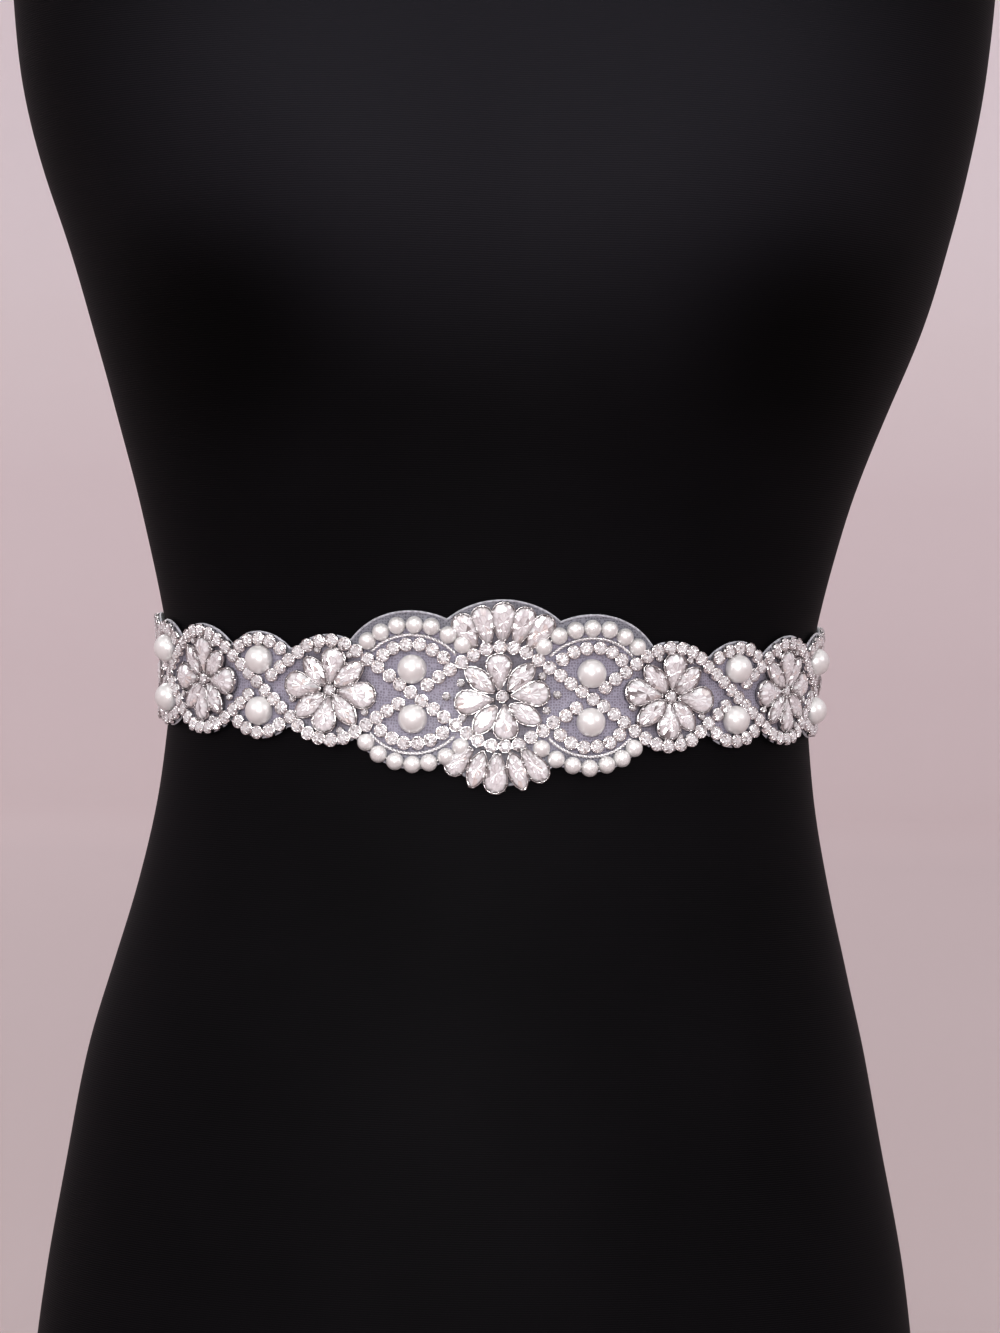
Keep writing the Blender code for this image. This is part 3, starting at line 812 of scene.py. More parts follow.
@dataclass(frozen=True)
class Satin(Grained):
    """Ivory satin. Its float threads run along the ribbon, in the UV map "flat"."""

    name: str = "satin_ivory"
    low: Colour = (0.76, 0.70, 0.61)
    high: Colour = (0.84, 0.79, 0.71)
    stops: Flat = (0.3, 0.62)
    scale: float = 1.0
    detail: float = 2.0
    relief: Flat = (0.18, 0.0002)
    polish: tuple[tuple[str, float], ...] = (
        ("Roughness", 0.30), ("Specular_IOR_Level", 0.55), ("Anisotropic", 0.45),
        ("Sheen_Weight", 0.2), ("Sheen_Roughness", 0.3))
    threads: Colour = (60.0, 1.0 / 0.00035, 1.0)

    def grain(self, desk: Desk) -> Socket:
        """Grain that is drawn out along the ribbon."""
        drawn = desk.add("Mapping", {"Vector": desk.flat(), "Scale": self.threads})
        return desk.noise(drawn.outputs["Vector"], self.scale, self.detail)


@dataclass(frozen=True)
class Silver(Grained):
    """Silver plate, dull where it is tarnished. The worn range is its roughness."""

    name: str = "silver_plate"
    low: Colour = (0.54, 0.50, 0.49)
    high: Colour = (0.86, 0.84, 0.84)
    stops: Flat = (0.32, 0.55)
    scale: float = 500.0
    detail: float = 3.0
    relief: Flat = (0.1, 0.0002)
    polish: tuple[tuple[str, float], ...] = (("Metallic", 1.0),)
    worn: Flat = (0.30, 0.14)

    def wear(self, desk: Desk, grain: Socket) -> None:
        """Dulls the tarnished spots."""
        desk.set(Roughness=desk.share(grain, (0.0, 1.0), self.worn))


@dataclass(frozen=True)
class PearlLustre(Grained):
    """Warm white pearl with a soft lustre."""

    name: str = "pearl_white"
    low: Colour = (0.535, 0.515, 0.505)
    high: Colour = (0.600, 0.585, 0.575)
    stops: Flat = (0.35, 0.6)
    scale: float = 160.0
    detail: float = 2.0
    relief: Flat = (0.0, 0.0)
    polish: tuple[tuple[str, float], ...] = (
        ("Roughness", 0.30), ("Specular_IOR_Level", 1.0), ("Coat_Weight", 1.0),
        ("Coat_Roughness", 0.36), ("Coat_IOR", 3.2))


@dataclass(frozen=True)
class SilverThread(Grained):
    """Metallic thread of the cord."""

    name: str = "cord_silver"
    low: Colour = (0.558, 0.552, 0.558)
    high: Colour = (0.93, 0.92, 0.93)
    stops: Flat = (0.3, 0.6)
    scale: float = 1500.0
    detail: float = 1.0
    relief: Flat = (0.3, 0.0001)
    polish: tuple[tuple[str, float], ...] = (("Metallic", 0.85), ("Roughness", 0.28))


@dataclass(frozen=True)
class Crystal:
    """Clear cut stone over a silvered back. Its colour is painted reflection, one tone for each facet,
    with painted shade along facet edges, round the girdle and towards the root.

    The UV map "facets" is the stone's plan, from -1 to 1, the UV map "crown" its height from
    girdle to table, and the attribute "copy" tells one stone from the next.
    """

    name: str = "crystal_clear"
    facets: float = 10.0
    ring_at: float = 0.56
    # Painted reflection: the facets' tones, bright, middle, dark and a warm glint, stand in for what the
    # stone reflects.
    bright: Colour = (0.93, 0.93, 0.945)
    middle: Colour = (0.76, 0.735, 0.745)
    dark: Colour = (0.27, 0.238, 0.24)
    peach: Colour = (0.86, 0.77, 0.74)
    # Painted shade: petals darken towards their root.
    root: Colour = (0.42, 0.37, 0.36)
    root_share: float = 0.0
    root_reach: Flat = (0.15, -0.95)
    # Painted shade round the girdle, fading up the crown, and along the facet edges.
    rim_share: float = 0.08
    rim_height: float = 0.6
    line_share: float = 0.38

    def material(self) -> Material:
        """Makes the material.

        Returns:
            The material.
        """
        desk = Desk(self.name)
        split = desk.add("SeparateXYZ", {"Vector": desk.flat("facets")})
        x, y = split.outputs["X"], split.outputs["Y"]
        angle = desk.math("DIVIDE", desk.math("ARCTAN2", y, x), math.tau)
        square = desk.math("ADD", desk.math("MULTIPLY", x, x), desk.math("MULTIPLY", y, y))
        radius = desk.math("POWER", square, 0.5)
        ring = desk.math("GREATER_THAN", radius, self.ring_at)
        shifted = desk.math("MULTIPLY_ADD", ring, 0.5, desk.math("MULTIPLY", angle, self.facets))
        within = desk.math("ABSOLUTE", desk.math("SUBTRACT", desk.math("FRACT", shifted), 0.5))
        key = desk.add("CombineXYZ", {"X": desk.math("FLOOR", shifted), "Y": ring,
                                      "Z": desk.mark("copy")}).outputs["Vector"]
        # Painted reflection: each facet gets one of the tones at random.
        tone = desk.add("TexWhiteNoise", {"Vector": key}, noise_dimensions="3D").outputs["Value"]
        colour = desk.ramp(tone, (
            (0.0, self.dark), (0.03, self.dark), (0.06, self.middle), (0.20, self.middle),
            (0.30, self.bright), (0.91, self.bright), (0.96, self.peach)))
        # Painted shade towards the root.
        if self.root_share:
            colour = desk.mix(desk.share(y, self.root_reach, (0.0, self.root_share)), colour, self.root)
        # Painted shade round the girdle and along the facet edges.
        climb = desk.add("SeparateXYZ", {"Vector": desk.flat("crown")}).outputs["X"]
        rim = desk.share(climb, (0.0, self.rim_height), (self.rim_share, 0.0))
        line = desk.math("MAXIMUM", desk.math("GREATER_THAN", within, 0.47),
                         desk.math("COMPARE", radius, self.ring_at, 0.04))
        for share in (rim, desk.math("MULTIPLY", line, self.line_share)):
            colour = desk.mix(share, colour, self.dark)
        desk.set(Base_Color=colour)
        desk.bump(desk.math("MULTIPLY", desk.math("MULTIPLY", within, radius), 2.0), 0.7, 0.0008)
        desk.set(Metallic=0.55, Roughness=0.12, Specular_IOR_Level=0.8, Coat_Weight=1.0,
                 Coat_Roughness=0.03, Coat_IOR=1.6)
        return desk.material


@dataclass(frozen=True)
class StudioFloor:
    """Pale floor that runs up into a wall. Its colour is painted light and shade, darker near the middle
    and paler up the wall. Each ring: its reach, its colour.
    """

    # Painted light and shade: the floor is darker near the middle and paler up the wall.
    rings: tuple[tuple[float, Colour], ...] = (
        (0.8, (0.424, 0.344, 0.350)),
        (2.0, (0.455, 0.371, 0.380)),
        (4.7, (0.480, 0.393, 0.404)),
        (6.8, (0.556, 0.458, 0.468)),
        (7.5, (0.596, 0.494, 0.510)),
        (8.0, (0.664, 0.562, 0.581)),
        (8.25, (0.742, 0.652, 0.669)),
        (8.5, (0.860, 0.787, 0.820)),
    )

    def material(self) -> Material:
        """Makes the material.

        Returns:
            The material.
        """
        desk = Desk("studio_floor")
        radius = desk.vector("LENGTH", desk.vector("MULTIPLY", desk.place(), (1.0, 1.0, 0.0)))
        first, last = self.rings[0][0], self.rings[-1][0]
        stops = [((reach - first) / (last - first), colour) for reach, colour in self.rings]
        desk.set(Base_Color=desk.ramp(desk.share(radius, (first, last)), stops))
        desk.set(Roughness=0.9, Specular_IOR_Level=0.1)
        return desk.material


@dataclass(frozen=True)
class Finishes:
    """Every finish of the sash, made once."""

    jersey: Material
    net: Material
    edge: Material
    satin: Material
    silver: Material
    claws: Material
    crystal: Material
    petal: Material
    pearl: Material
    thread: Material

    @classmethod
    def mixed(cls) -> "Finishes":
        """Makes all the materials.

        Returns:
            The finishes.
        """
        # Painted shade: the petals' settings get a darker copy of the silver plate, standing in for the
        # shade round the petals.
        claws = Silver("silver_claws", low=(0.30, 0.28, 0.28), high=(0.56, 0.54, 0.54))
        # Painted shade: the petals get a copy of the crystal with more painted shade at the root and
        # girdle, and fainter edge lines.
        petal = Crystal("crystal_petal", root_share=0.32, rim_share=0.64, line_share=0.18)
        finishes = (Jersey(), Net(), TurnedEdge(), Satin(), Silver(), claws, Crystal(), petal,
                    PearlLustre(), SilverThread())
        return cls(*(finish.material() for finish in finishes))


# ---- the sub-assemblies


@dataclass
class Assembly:
    """Sub-assembly of the sash: what it lies on and what its pieces are dressed with."""

    band: Band
    finishes: Finishes

    def finish(self, piece: Piece, material: Material, slot: str, *nodes: str) -> None:
        """Sets a piece in its place in metres above the floor, dresses it and hands it over.

        Args:
            piece: The modelled piece, in millimetres above the waist.
            material: Its finish.
            slot: Its slot; not used.
            *nodes: The nodes that it stands for.
        """
        lift = Vector((0.0, 0.0, self.band.form.waist_height))
        Bench.reshape(piece, lambda point: (point + lift) * METRES_PER_MM)
        piece.data.materials.clear()
        piece.data.materials.append(material)
        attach(piece, BODY)
        if nodes:
            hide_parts(*nodes)
        log.info("%s: %d faces", piece.name, len(piece.data.polygons))


@dataclass
class DressForm(Assembly):
    """Whole limbless torso under smooth jersey, with a short neck and a flat underside."""

    around: int = 144
    row_height: float = 4.5
    crease: float = 40.0

    def levels(self) -> list[float]:
        """Levels of the form's rings: the sections and even steps between them.

        Returns:
            The levels, from the underside up.
        """
        heights = [section[0] for section in self.band.form.sections]
        levels = []
        for low, high in zip(heights, heights[1:]):
            steps = max(1, math.ceil((high - low) / self.row_height))
            levels.extend(low + (high - low) * step / steps for step in range(steps))
        return levels + [heights[-1]]

    def build(self) -> None:
        """Models the torso, closes its two ends and dresses it."""
        levels = self.levels()
        last = len(levels) - 1
        piece = Bench.grid(FORM_PIECE, self.around, last)
        Bench.reshape(piece, lambda point: self.band.form.surface(
            math.tau * point.x, levels[round(point.y * last)]))
        with Bench.editing(piece, "VERT"):
            bpy.ops.mesh.remove_doubles(threshold=0.01)
            bpy.ops.mesh.fill_holes(sides=0)
            bpy.ops.mesh.normals_make_consistent(inside=False)
        Bench.smooth(piece, self.crease)
        self.finish(piece, self.finishes.jersey, "jersey_black", "dress_form")


@dataclass
class NetGround(Assembly):
    """Scalloped net that carries the beadwork, with its turned edge.

    Each lobe: station, height of the arc's centre, radius above, radius below. Each shade under
    tall stones: station, height, radius.
    """

    lobes: tuple[tuple[float, float, float, float], ...] = (
        (0.0, 4.2, 26.4, 23.9),
        (28.0, 1.0, 25.3, 22.6),
        (55.0, 0.0, 17.6, 17.2),
        (80.5, 2.2, 15.0, 14.7),
        (106.0, 0.0, 18.0, 17.4),
        (131.5, 2.2, 15.3, 15.0),
        (157.0, 0.0, 18.0, 17.6),
    )
    shades: tuple[Triple, ...] = (
        (0.0, 0.0, 15.5), (55.0, 0.0, 14.5), (106.0, 0.0, 14.5), (157.0, 0.0, 14.5),
        (0.0, 20.0, 11.0), (0.0, -20.0, 11.0))
    shade_fade: float = 3.0
    rim_steps: tuple[float, ...] = (-6.0, -4.0, -2.0, -1.0, 0.0, 1.0, 2.0, 4.0, 6.0)
    end: float = 180.0
    end_half_width: float = 12.5
    columns: int = 360
    rows: int = 26
    out: float = 0.85
    thickness: float = 0.45
    pucker: float = 0.22
    crease: float = 50.0
    edge_radius: float = 0.36
    edge_step: float = 0.8

    def edge(self, along: float, level: Level) -> float:
        """Height of the net's edge.

        Args:
            along: Distance along the waist.
            level: The upper or the lower edge.

        Returns:
            The height over the middle line.
        """
        height = self.end_half_width
        for station, centre, above, below in self.lobes:
            radius = above if level is Level.UPPER else below
            reach = abs(abs(along) - station)
            if reach < radius:
                height = max(height, centre + math.sqrt(radius * radius - reach * reach))
        return height * level.value

    def shade(self, along: float, up: float) -> float:
        """Share of shade under the tall stones at a place on the net."""
        depths = (radius - math.hypot(abs(along) - x, up - y) for x, y, radius in self.shades)
        return min(1.0, max(0.0, max(depths) / self.shade_fade))

    def rim(self, along: float, up: float) -> float:
        """Distance from a place on the net to the edge of its half."""
        level = Level.UPPER if up > 0.0 else Level.LOWER
        return min(math.hypot(step, self.edge(along + step, level) - up) for step in self.rim_steps)

    def flat_area(self) -> float:
        """Area of the cut net.

        Returns:
            The area in square metres.
        """
        step = 2.0 * self.end / self.columns
        places = [-self.end + step * (index + 0.5) for index in range(self.columns)]
        area = sum(self.edge(place, Level.UPPER) - self.edge(place, Level.LOWER) for place in places)
        return area * step * METRES_PER_MM ** 2

    def lift(self, along: float, up: float) -> float:
        """Distance of the puckered net from the form's skin."""
        wave = math.sin(along * 0.71 + math.sin(up * 0.33)) * math.sin(up * 0.83 + along * 0.19)
        return self.out + self.pucker * wave

    def build_net(self) -> Piece:
        """Models the net itself.

        Returns:
            The net.
        """
        piece = Bench.grid("net_ground_cloth", self.columns, self.rows)
        flat = []
        for vertex in piece.data.vertices:
            along = self.end * (2.0 * vertex.co.x - 1.0)
            low, high = self.edge(along, Level.LOWER), self.edge(along, Level.UPPER)
            up = low + (high - low) * vertex.co.y
            flat.append((along, up))
            vertex.co = self.band.point(along, up, self.lift(along, up))
        Bench.unwrap(piece, flat)
        for name, measure in (("shade", self.shade), ("rim", self.rim)):
            layer = piece.data.attributes.new(name, "FLOAT", "POINT")
            layer.data.foreach_set("value", [measure(*spot) for spot in flat])
        Bench.thicken(piece, self.thickness, 1.0)
        Bench.smooth(piece, self.crease)
        return piece

    def build_edge(self) -> Piece:
        """Models the turned edge as a fine roll round the net.

        Returns:
            The edge.
        """
        count = round(2.0 * self.end / self.edge_step)
        alongs = [self.end * (2.0 * step / count - 1.0) for step in range(count + 1)]
        outline = [(along, self.edge(along, Level.UPPER)) for along in alongs]
        outline += [(along, self.edge(along, Level.LOWER)) for along in reversed(alongs)]
        points = [self.band.point(*spot, self.out + self.edge_radius) for spot in outline]
        return Bench.tube("net_ground_edge", points, self.edge_radius, closed=True, sides=2)

    def build(self) -> None:
        cloth, edge = self.build_net(), self.build_edge()
        self.finish(cloth, self.finishes.net, "net_silver", "net_ground")
        self.finish(edge, self.finishes.edge, "net_silver")
        height = max(above + centre for _, centre, above, _ in self.lobes)
        height += max(below + centre for _, centre, _, below in self.lobes)
        self.flat_area()


# ---- cut stones and settings


@dataclass(frozen=True)
class CutShape:
    """Stock size of a claw-set stone, the corners that have claws, and its plan.

    Each row of the plan: share of the length, share of the half width.
    """

    size: Flat
    claws: tuple[int, ...]
    rows: tuple[Flat, ...]


class Cut(Named):
    """Cut of a claw-set stone."""

    PEAR = CutShape((11.7, 7.6), (0, 2, 4, 6, 7, 9, 11, 13), (
        (0.0, 0.07), (0.16, 0.34), (0.36, 0.66), (0.57, 0.93), (0.75, 1.0), (0.90, 0.76), (1.0, 0.30)))
    MARQUISE = CutShape((11.2, 5.3), (0, 2, 4, 6, 9, 11), (
        (0.0, 0.10), (0.15, 0.58), (0.32, 0.90), (0.5, 1.0), (0.68, 0.92), (0.86, 0.64), (1.0, 0.22)))
    DROP = CutShape((12.2, 7.6), (0, 2, 4, 6, 7, 9, 11, 13), (
        (0.0, 0.24), (0.14, 0.50), (0.34, 0.78), (0.57, 0.96), (0.76, 1.0), (0.91, 0.74), (1.0, 0.30)))

    def plan(self, inset: float) -> Outline:
        """Corners of the plan, counter-clockwise, with the tip at -Y and the middle at 0.

        Args:
            inset: How far the plan lies inside the stock size.

        Returns:
            The corners.
        """
        length, width = (size - 2.0 * inset for size in self.value.size)
        right = [(width / 2.0 * wide, length * (far - 0.5)) for far, wide in self.value.rows]
        return right + [(-x, y) for x, y in reversed(right)]


@dataclass
class StoneCutter:
    """Cuts stones and makes their settings. Heights are over the bead's foot.

    Claws and links: width, thickness and height.
    """

    girdle: float = 1.30
    stone_foot: float = -0.25
    crown_share: float = 0.17
    main_slope: float = math.radians(34.0)
    break_slope: float = math.radians(46.0)
    star_slope: float = math.radians(18.0)
    star_share: float = 0.62
    star_drop: float = 0.10
    inset: float = 0.34
    gap: float = 0.10
    foot: float = -0.55
    wall_top: float = 1.50
    cup_depth: float = 0.9
    crease: float = 35.0
    claw: Triple = (0.9, 0.4, 1.5)
    small_claw: Triple = (0.85, 0.42, 1.45)
    claw_foot: float = 0.2
    claw_tip: float = 0.3
    claw_taper: Triple = (0.6, 0.7, 1.0)
    claw_lean: float = 0.75
    link_width: float = 0.9
    link_height: float = 0.5
    link_level: float = 0.1
    link_overlap: float = 0.25
    stone_corners: int = 16
    cup_corners: int = 12
    cup_claws: tuple[int, ...] = (1, 4, 7, 10)

    def blank(self, name: str, plan: Outline, low: float, high: float) -> Piece:
        """Upright block over a plan, raised from a filled circle.

        Args:
            name: Its name.
            plan: Corners of the plan, counter-clockwise.
            low: Height of its underside.
            high: Height of its top.

        Returns:
            The block.
        """
        Bench.clear()
        bpy.ops.mesh.primitive_circle_add(vertices=len(plan), radius=1.0, fill_type="NGON")
        piece = Bench.added(name)
        for vertex, (x, y) in zip(piece.data.vertices, plan):
            vertex.co = (x, y, low)
        with Bench.editing(piece):
            bpy.ops.mesh.extrude_region_move(TRANSFORM_OT_translate={"value": (0.0, 0.0, high - low)})
            bpy.ops.mesh.select_all(action="SELECT")
            bpy.ops.mesh.normals_make_consistent(inside=False)
        return piece

    @staticmethod
    def grind(before: Vector, after: Vector, place: Triple, slope: float) -> None:
        """Grinds one facet of the stone in edit mode.

        Args:
            before: Corner before the facet.
            after: Corner after it. The facet leans outward, across the line between the two.
            place: A place on the facet.
            slope: Slope of the facet, in radians.
        """
        outward = Vector((after.y - before.y, before.x - after.x)).normalized()
        normal = (outward.x * math.sin(slope), outward.y * math.sin(slope), math.cos(slope))
        bpy.ops.mesh.select_all(action="SELECT")
        bpy.ops.mesh.bisect(plane_co=place, plane_no=normal, use_fill=True, clear_outer=True)

    def stone(self, name: str, plan: Outline) -> Piece:
        """Cut stone over a plan, with breaks, mains and stars round its table.

        Args:
            name: Name of the pattern.
            plan: Corners of the stone, counter-clockwise.

        Returns:
            The pattern, with its plan in the UV map "facets" and its height in "crown".
        """
        corners = [Vector(corner) for corner in plan]
        half = Vector((max(abs(x) for x, _ in plan), max(abs(y) for _, y in plan)))
        table = self.girdle + self.crown_share * 2.0 * half.x
        piece = self.blank(name, plan, self.stone_foot, table)
        with Bench.editing(piece):
            for start, end in zip(corners, corners[1:] + corners[:1]):
                self.grind(start, end, (start.x, start.y, self.girdle), self.break_slope)
            for first, share, height, slope in (
                    (0, 1.0, self.girdle, self.main_slope),
                    (1, self.star_share, table - self.star_drop, self.star_slope)):
                for index in range(first, len(corners), 2):
                    here, after = corners[index], corners[(index + 1) % len(corners)]
                    place = (here.x * share, here.y * share, height)
                    self.grind(corners[index - 1], after, place, slope)
        layers = piece.data.uv_layers
        for layer in ("facets", "crown"):
            layers.new(name=layer)
        facets, crown = layers["facets"], layers["crown"]
        for loop in piece.data.loops:
            place = piece.data.vertices[loop.vertex_index].co
            facets.uv[loop.index].vector = (place.x / half.x, place.y / half.y)
            crown.uv[loop.index].vector = ((place.z - self.girdle) / (table - self.girdle), 0.0)
        return piece

    def bent_claw(self, place: Vector, size: Triple) -> Piece:
        """Claw that stands at the wall and folds over the stone.

        Args:
            place: Its flat place on the wall, from the middle of the stone.
            size: Width, thickness and height.

        Returns:
            The claw.
        """
        width, thickness, height = size
        Bench.clear()
        bpy.ops.mesh.primitive_cube_add(size=1.0, location=(0.0, 0.0, height / 2.0))
        piece = Bench.added("claw")
        with Bench.editing(piece):
            Bench.pick_top()
            bpy.ops.mesh.extrude_region_move(TRANSFORM_OT_translate={"value": (0.0, 0.0, self.claw_tip)})
            bpy.ops.transform.resize(value=self.claw_taper)
        inward = -place.normalized()
        across = Vector((-inward.y, inward.x))
        top = height + self.claw_tip

        def bend(point: Vector) -> Vector:
            """Leans the claw in and sets it at the wall.

            Args:
                point: Point of the upright claw.

            Returns:
                The point's place.
            """
            share = max(0.0, point.z / top)
            flat = place + inward * (self.claw_lean * share * share + point.y * thickness)
            flat += across * point.x * width
            return Vector((*flat, self.claw_foot + point.z))

        Bench.reshape(piece, bend)
        return piece

    def setting(self, name: str, plan: Outline, claws: Sequence[int],
                size: Triple) -> Piece:
        """Metal cup over a plan with claws at some of its corners.

        Args:
            name: Name of the pattern.
            plan: Corners of the wall, counter-clockwise.
            claws: Numbers of the corners that have a claw.
            size: Width, thickness and height of a claw.

        Returns:
            The pattern.
        """
        cup = self.blank(name, plan, self.foot, self.wall_top)
        with Bench.editing(cup):
            Bench.pick_top()
            bpy.ops.mesh.inset(thickness=self.inset)
            bpy.ops.transform.translate(value=(0.0, 0.0, -self.cup_depth))
        parts = [cup] + [self.bent_claw(Vector(plan[index]), size) for index in claws]
        piece = Bench.join(name, parts)
        Bench.face_out(piece)
        Bench.smooth(piece, self.crease)
        return piece

    @staticmethod
    def round_plan(radius: float, corners: int) -> Outline:
        """Corners of a round plan."""
        turns = [math.tau * (corner + 0.5) / corners for corner in range(corners)]
        return [(radius * math.cos(turn), radius * math.sin(turn)) for turn in turns]

    def round_cup(self, name: str, radius: float) -> Piece:
        """Round cup with four claws."""
        plan = self.round_plan(radius, self.cup_corners)
        return self.setting(name, plan, self.cup_claws, self.small_claw)

    def linked_cup(self, name: str, radius: float, pitch: float) -> Piece:
        """Round cup with the link to the next cup of a chain.

        Args:
            name: Name of the pattern.
            radius: Radius of its wall.
            pitch: Distance to the next cup.

        Returns:
            The pattern.
        """
        cup = self.round_cup(name, radius)
        length = pitch - 2.0 * (radius - self.link_overlap)
        Bench.clear()
        bpy.ops.mesh.primitive_cube_add(size=1.0, location=(pitch / 2.0, 0.0, self.link_level),
                                        scale=(length, self.link_width, self.link_height))
        return Bench.join(name, [cup, Bench.added("link")])


@dataclass
class StonePatterns:
    """The stones and settings that repeat, each modelled once."""

    cutter: StoneCutter
    chain_radius: float = 2.2
    chain_pitch: float = 4.25
    chain_wall: float = 0.3

    def __post_init__(self) -> None:
        """Models every pattern."""
        cutter = self.cutter
        self.stones, self.settings = {}, {}
        for cut in Cut:
            inner, outer = cut.plan(cutter.inset + cutter.gap), cut.plan(0.0)
            self.stones[cut] = cutter.stone(f"pattern_{cut.word}", inner)
            self.settings[cut] = cutter.setting(
                f"pattern_{cut.word}_setting", outer, cut.value.claws, cutter.claw)
        round_plan = cutter.round_plan(self.chain_radius - self.chain_wall, cutter.stone_corners)
        self.round_stone = cutter.stone("pattern_round", round_plan)
        self.chain_cup = cutter.linked_cup("pattern_cup", self.chain_radius, self.chain_pitch)
        self.single_cup = cutter.round_cup("pattern_single_cup", self.chain_radius)

    def clear_away(self) -> None:
        """Removes the patterns."""
        for pattern in (*self.stones.values(), *self.settings.values(), self.round_stone,
                        self.chain_cup, self.single_cup):
            bpy.data.objects.remove(pattern, do_unlink=True)


# ---- routes


@dataclass(frozen=True)
class Routes:
    """Flat routes of the beadwork along the band."""

    eye: float = 28.0
    flowers: tuple[float, ...] = (55.0, 106.0, 157.0)
    pairs: tuple[float, ...] = (80.5, 131.5)
    ring_radius: float = 16.0
    step: float = 0.5
    turn_steps: int = 24

    def crossings(self) -> Iterator[tuple[str, float, Level, bool]]:
        """Upper and lower half of every crossing of the strands, from the middle outward.

        Returns:
            The end of its pieces' names, its station, its half and whether it is an eye.
        """
        for side in Side:
            for number, along in enumerate((self.eye, *self.pairs), 1):
                for level in Level:
                    yield f"{level.word}_{number}_{side.word}", side.value * along, level, number == 1

    def eyes(self) -> Iterator[tuple[str, float, Level]]:
        """Upper and lower half of the two crossings beside the middle flower.

        Returns:
            The end of its pieces' names, its side as -1 or 1, and its half.
        """
        for side in Side:
            for level in Level:
                yield f"{level.word}_{side.word}", side.value, level

    def strand_up(self, along: float, phase: float) -> float:
        """Height of a chain strand: round each flower on a circle, straight to a crossing.

        Args:
            along: Distance along the waist.
            phase: 1 for the strand that is up at the middle flower, -1 for the other.

        Returns:
            The height over the middle line.
        """
        distance = abs(along)
        flowers = (0.0,) + self.flowers
        crossings = (self.eye,) + self.pairs
        index = sum(1 for crossing in crossings if distance > crossing)
        reach = abs(distance - flowers[index])
        beyond = distance > flowers[index] and index < len(crossings)
        crossing = crossings[index] if beyond or index == 0 else crossings[index - 1]
        pitch, radius = abs(crossing - flowers[index]), self.ring_radius
        if reach < radius * radius / pitch:
            height = math.sqrt(radius * radius - reach * reach)
        else:
            height = (pitch - reach) * radius / math.sqrt(pitch * pitch - radius * radius)
        return phase * (-1.0) ** index * height

    def strand(self, start: float, end: float, phase: float) -> Outline:
        """Dense route of a strand.

        Args:
            start: Distance along the waist at which it starts.
            end: Distance at which it ends.
            phase: 1 for the strand that is up at the middle flower, -1 for the other.

        Returns:
            The route.
        """
        count = round(abs(end - start) / self.step)
        alongs = [start + (end - start) * step / count for step in range(count + 1)]
        return [(along, self.strand_up(along, phase)) for along in alongs]

    def end_loop(self, side: Side) -> Outline:
        """Route of the strand that runs round the last flower and back to its crossing.

        Args:
            side: The side.

        Returns:
            The route.
        """
        last, way = self.flowers[-1], side.value
        run = self.strand(way * self.pairs[0], way * last, way)
        back = self.strand(way * last, way * self.pairs[1], -way)
        reach = math.copysign(self.ring_radius, run[-1][1])
        angles = [math.pi * step / self.turn_steps for step in range(1, self.turn_steps)]
        turn = [(way * (last + self.ring_radius * math.sin(angle)), reach * math.cos(angle))
                for angle in angles]
        return run + turn + back

    def arc(self, along: float, centre: float, radius: float, half_angle: float,
            level: Level) -> Outline:
        """Flat arc over a station, or its mirror image under it.

        Args:
            along: The station.
            centre: Height of its centre.
            radius: Its radius.
            half_angle: Half of its opening, in radians.
            level: Whether it lies over or under the middle line.

        Returns:
            The route.
        """
        angles = [half_angle * (step / self.turn_steps - 1.0) for step in range(2 * self.turn_steps + 1)]
        return [(along + radius * math.sin(angle), level.value * (centre + radius * math.cos(angle)))
                for angle in angles]

    @staticmethod
    def length(route: Outline) -> float:
        """Length of a flat route."""
        return sum(math.dist(first, second) for first, second in zip(route, route[1:]))

    @staticmethod
    def resample(route: Outline, count: int) -> Outline:
        """Points at even distances along a flat route.

        Args:
            route: The route.
            count: Number of steps between the points.

        Returns:
            The points.
        """
        spans = (math.dist(first, second) for first, second in zip(route, route[1:]))
        lengths = list(accumulate(spans, initial=0.0))
        targets = np.linspace(0.0, lengths[-1], count + 1)
        alongs, ups = (np.interp(targets, lengths, values).tolist() for values in zip(*route))
        return list(zip(alongs, ups))

    def trimmed(self, route: Outline, trim: float) -> Outline:
        """Flat route with a length taken off each end.

        Args:
            route: The route.
            trim: The length.

        Returns:
            The shorter route.
        """
        fine = self.resample(route, 4 * len(route))
        cut = round(trim / math.dist(fine[0], fine[1]))
        return fine[cut:len(fine) - cut]


# ---- beadwork


@dataclass
class Beadwork(Assembly):
    """Sub-assembly that is sewn to the net along the flat routes."""

    routes: Routes
    foot: float = 1.85


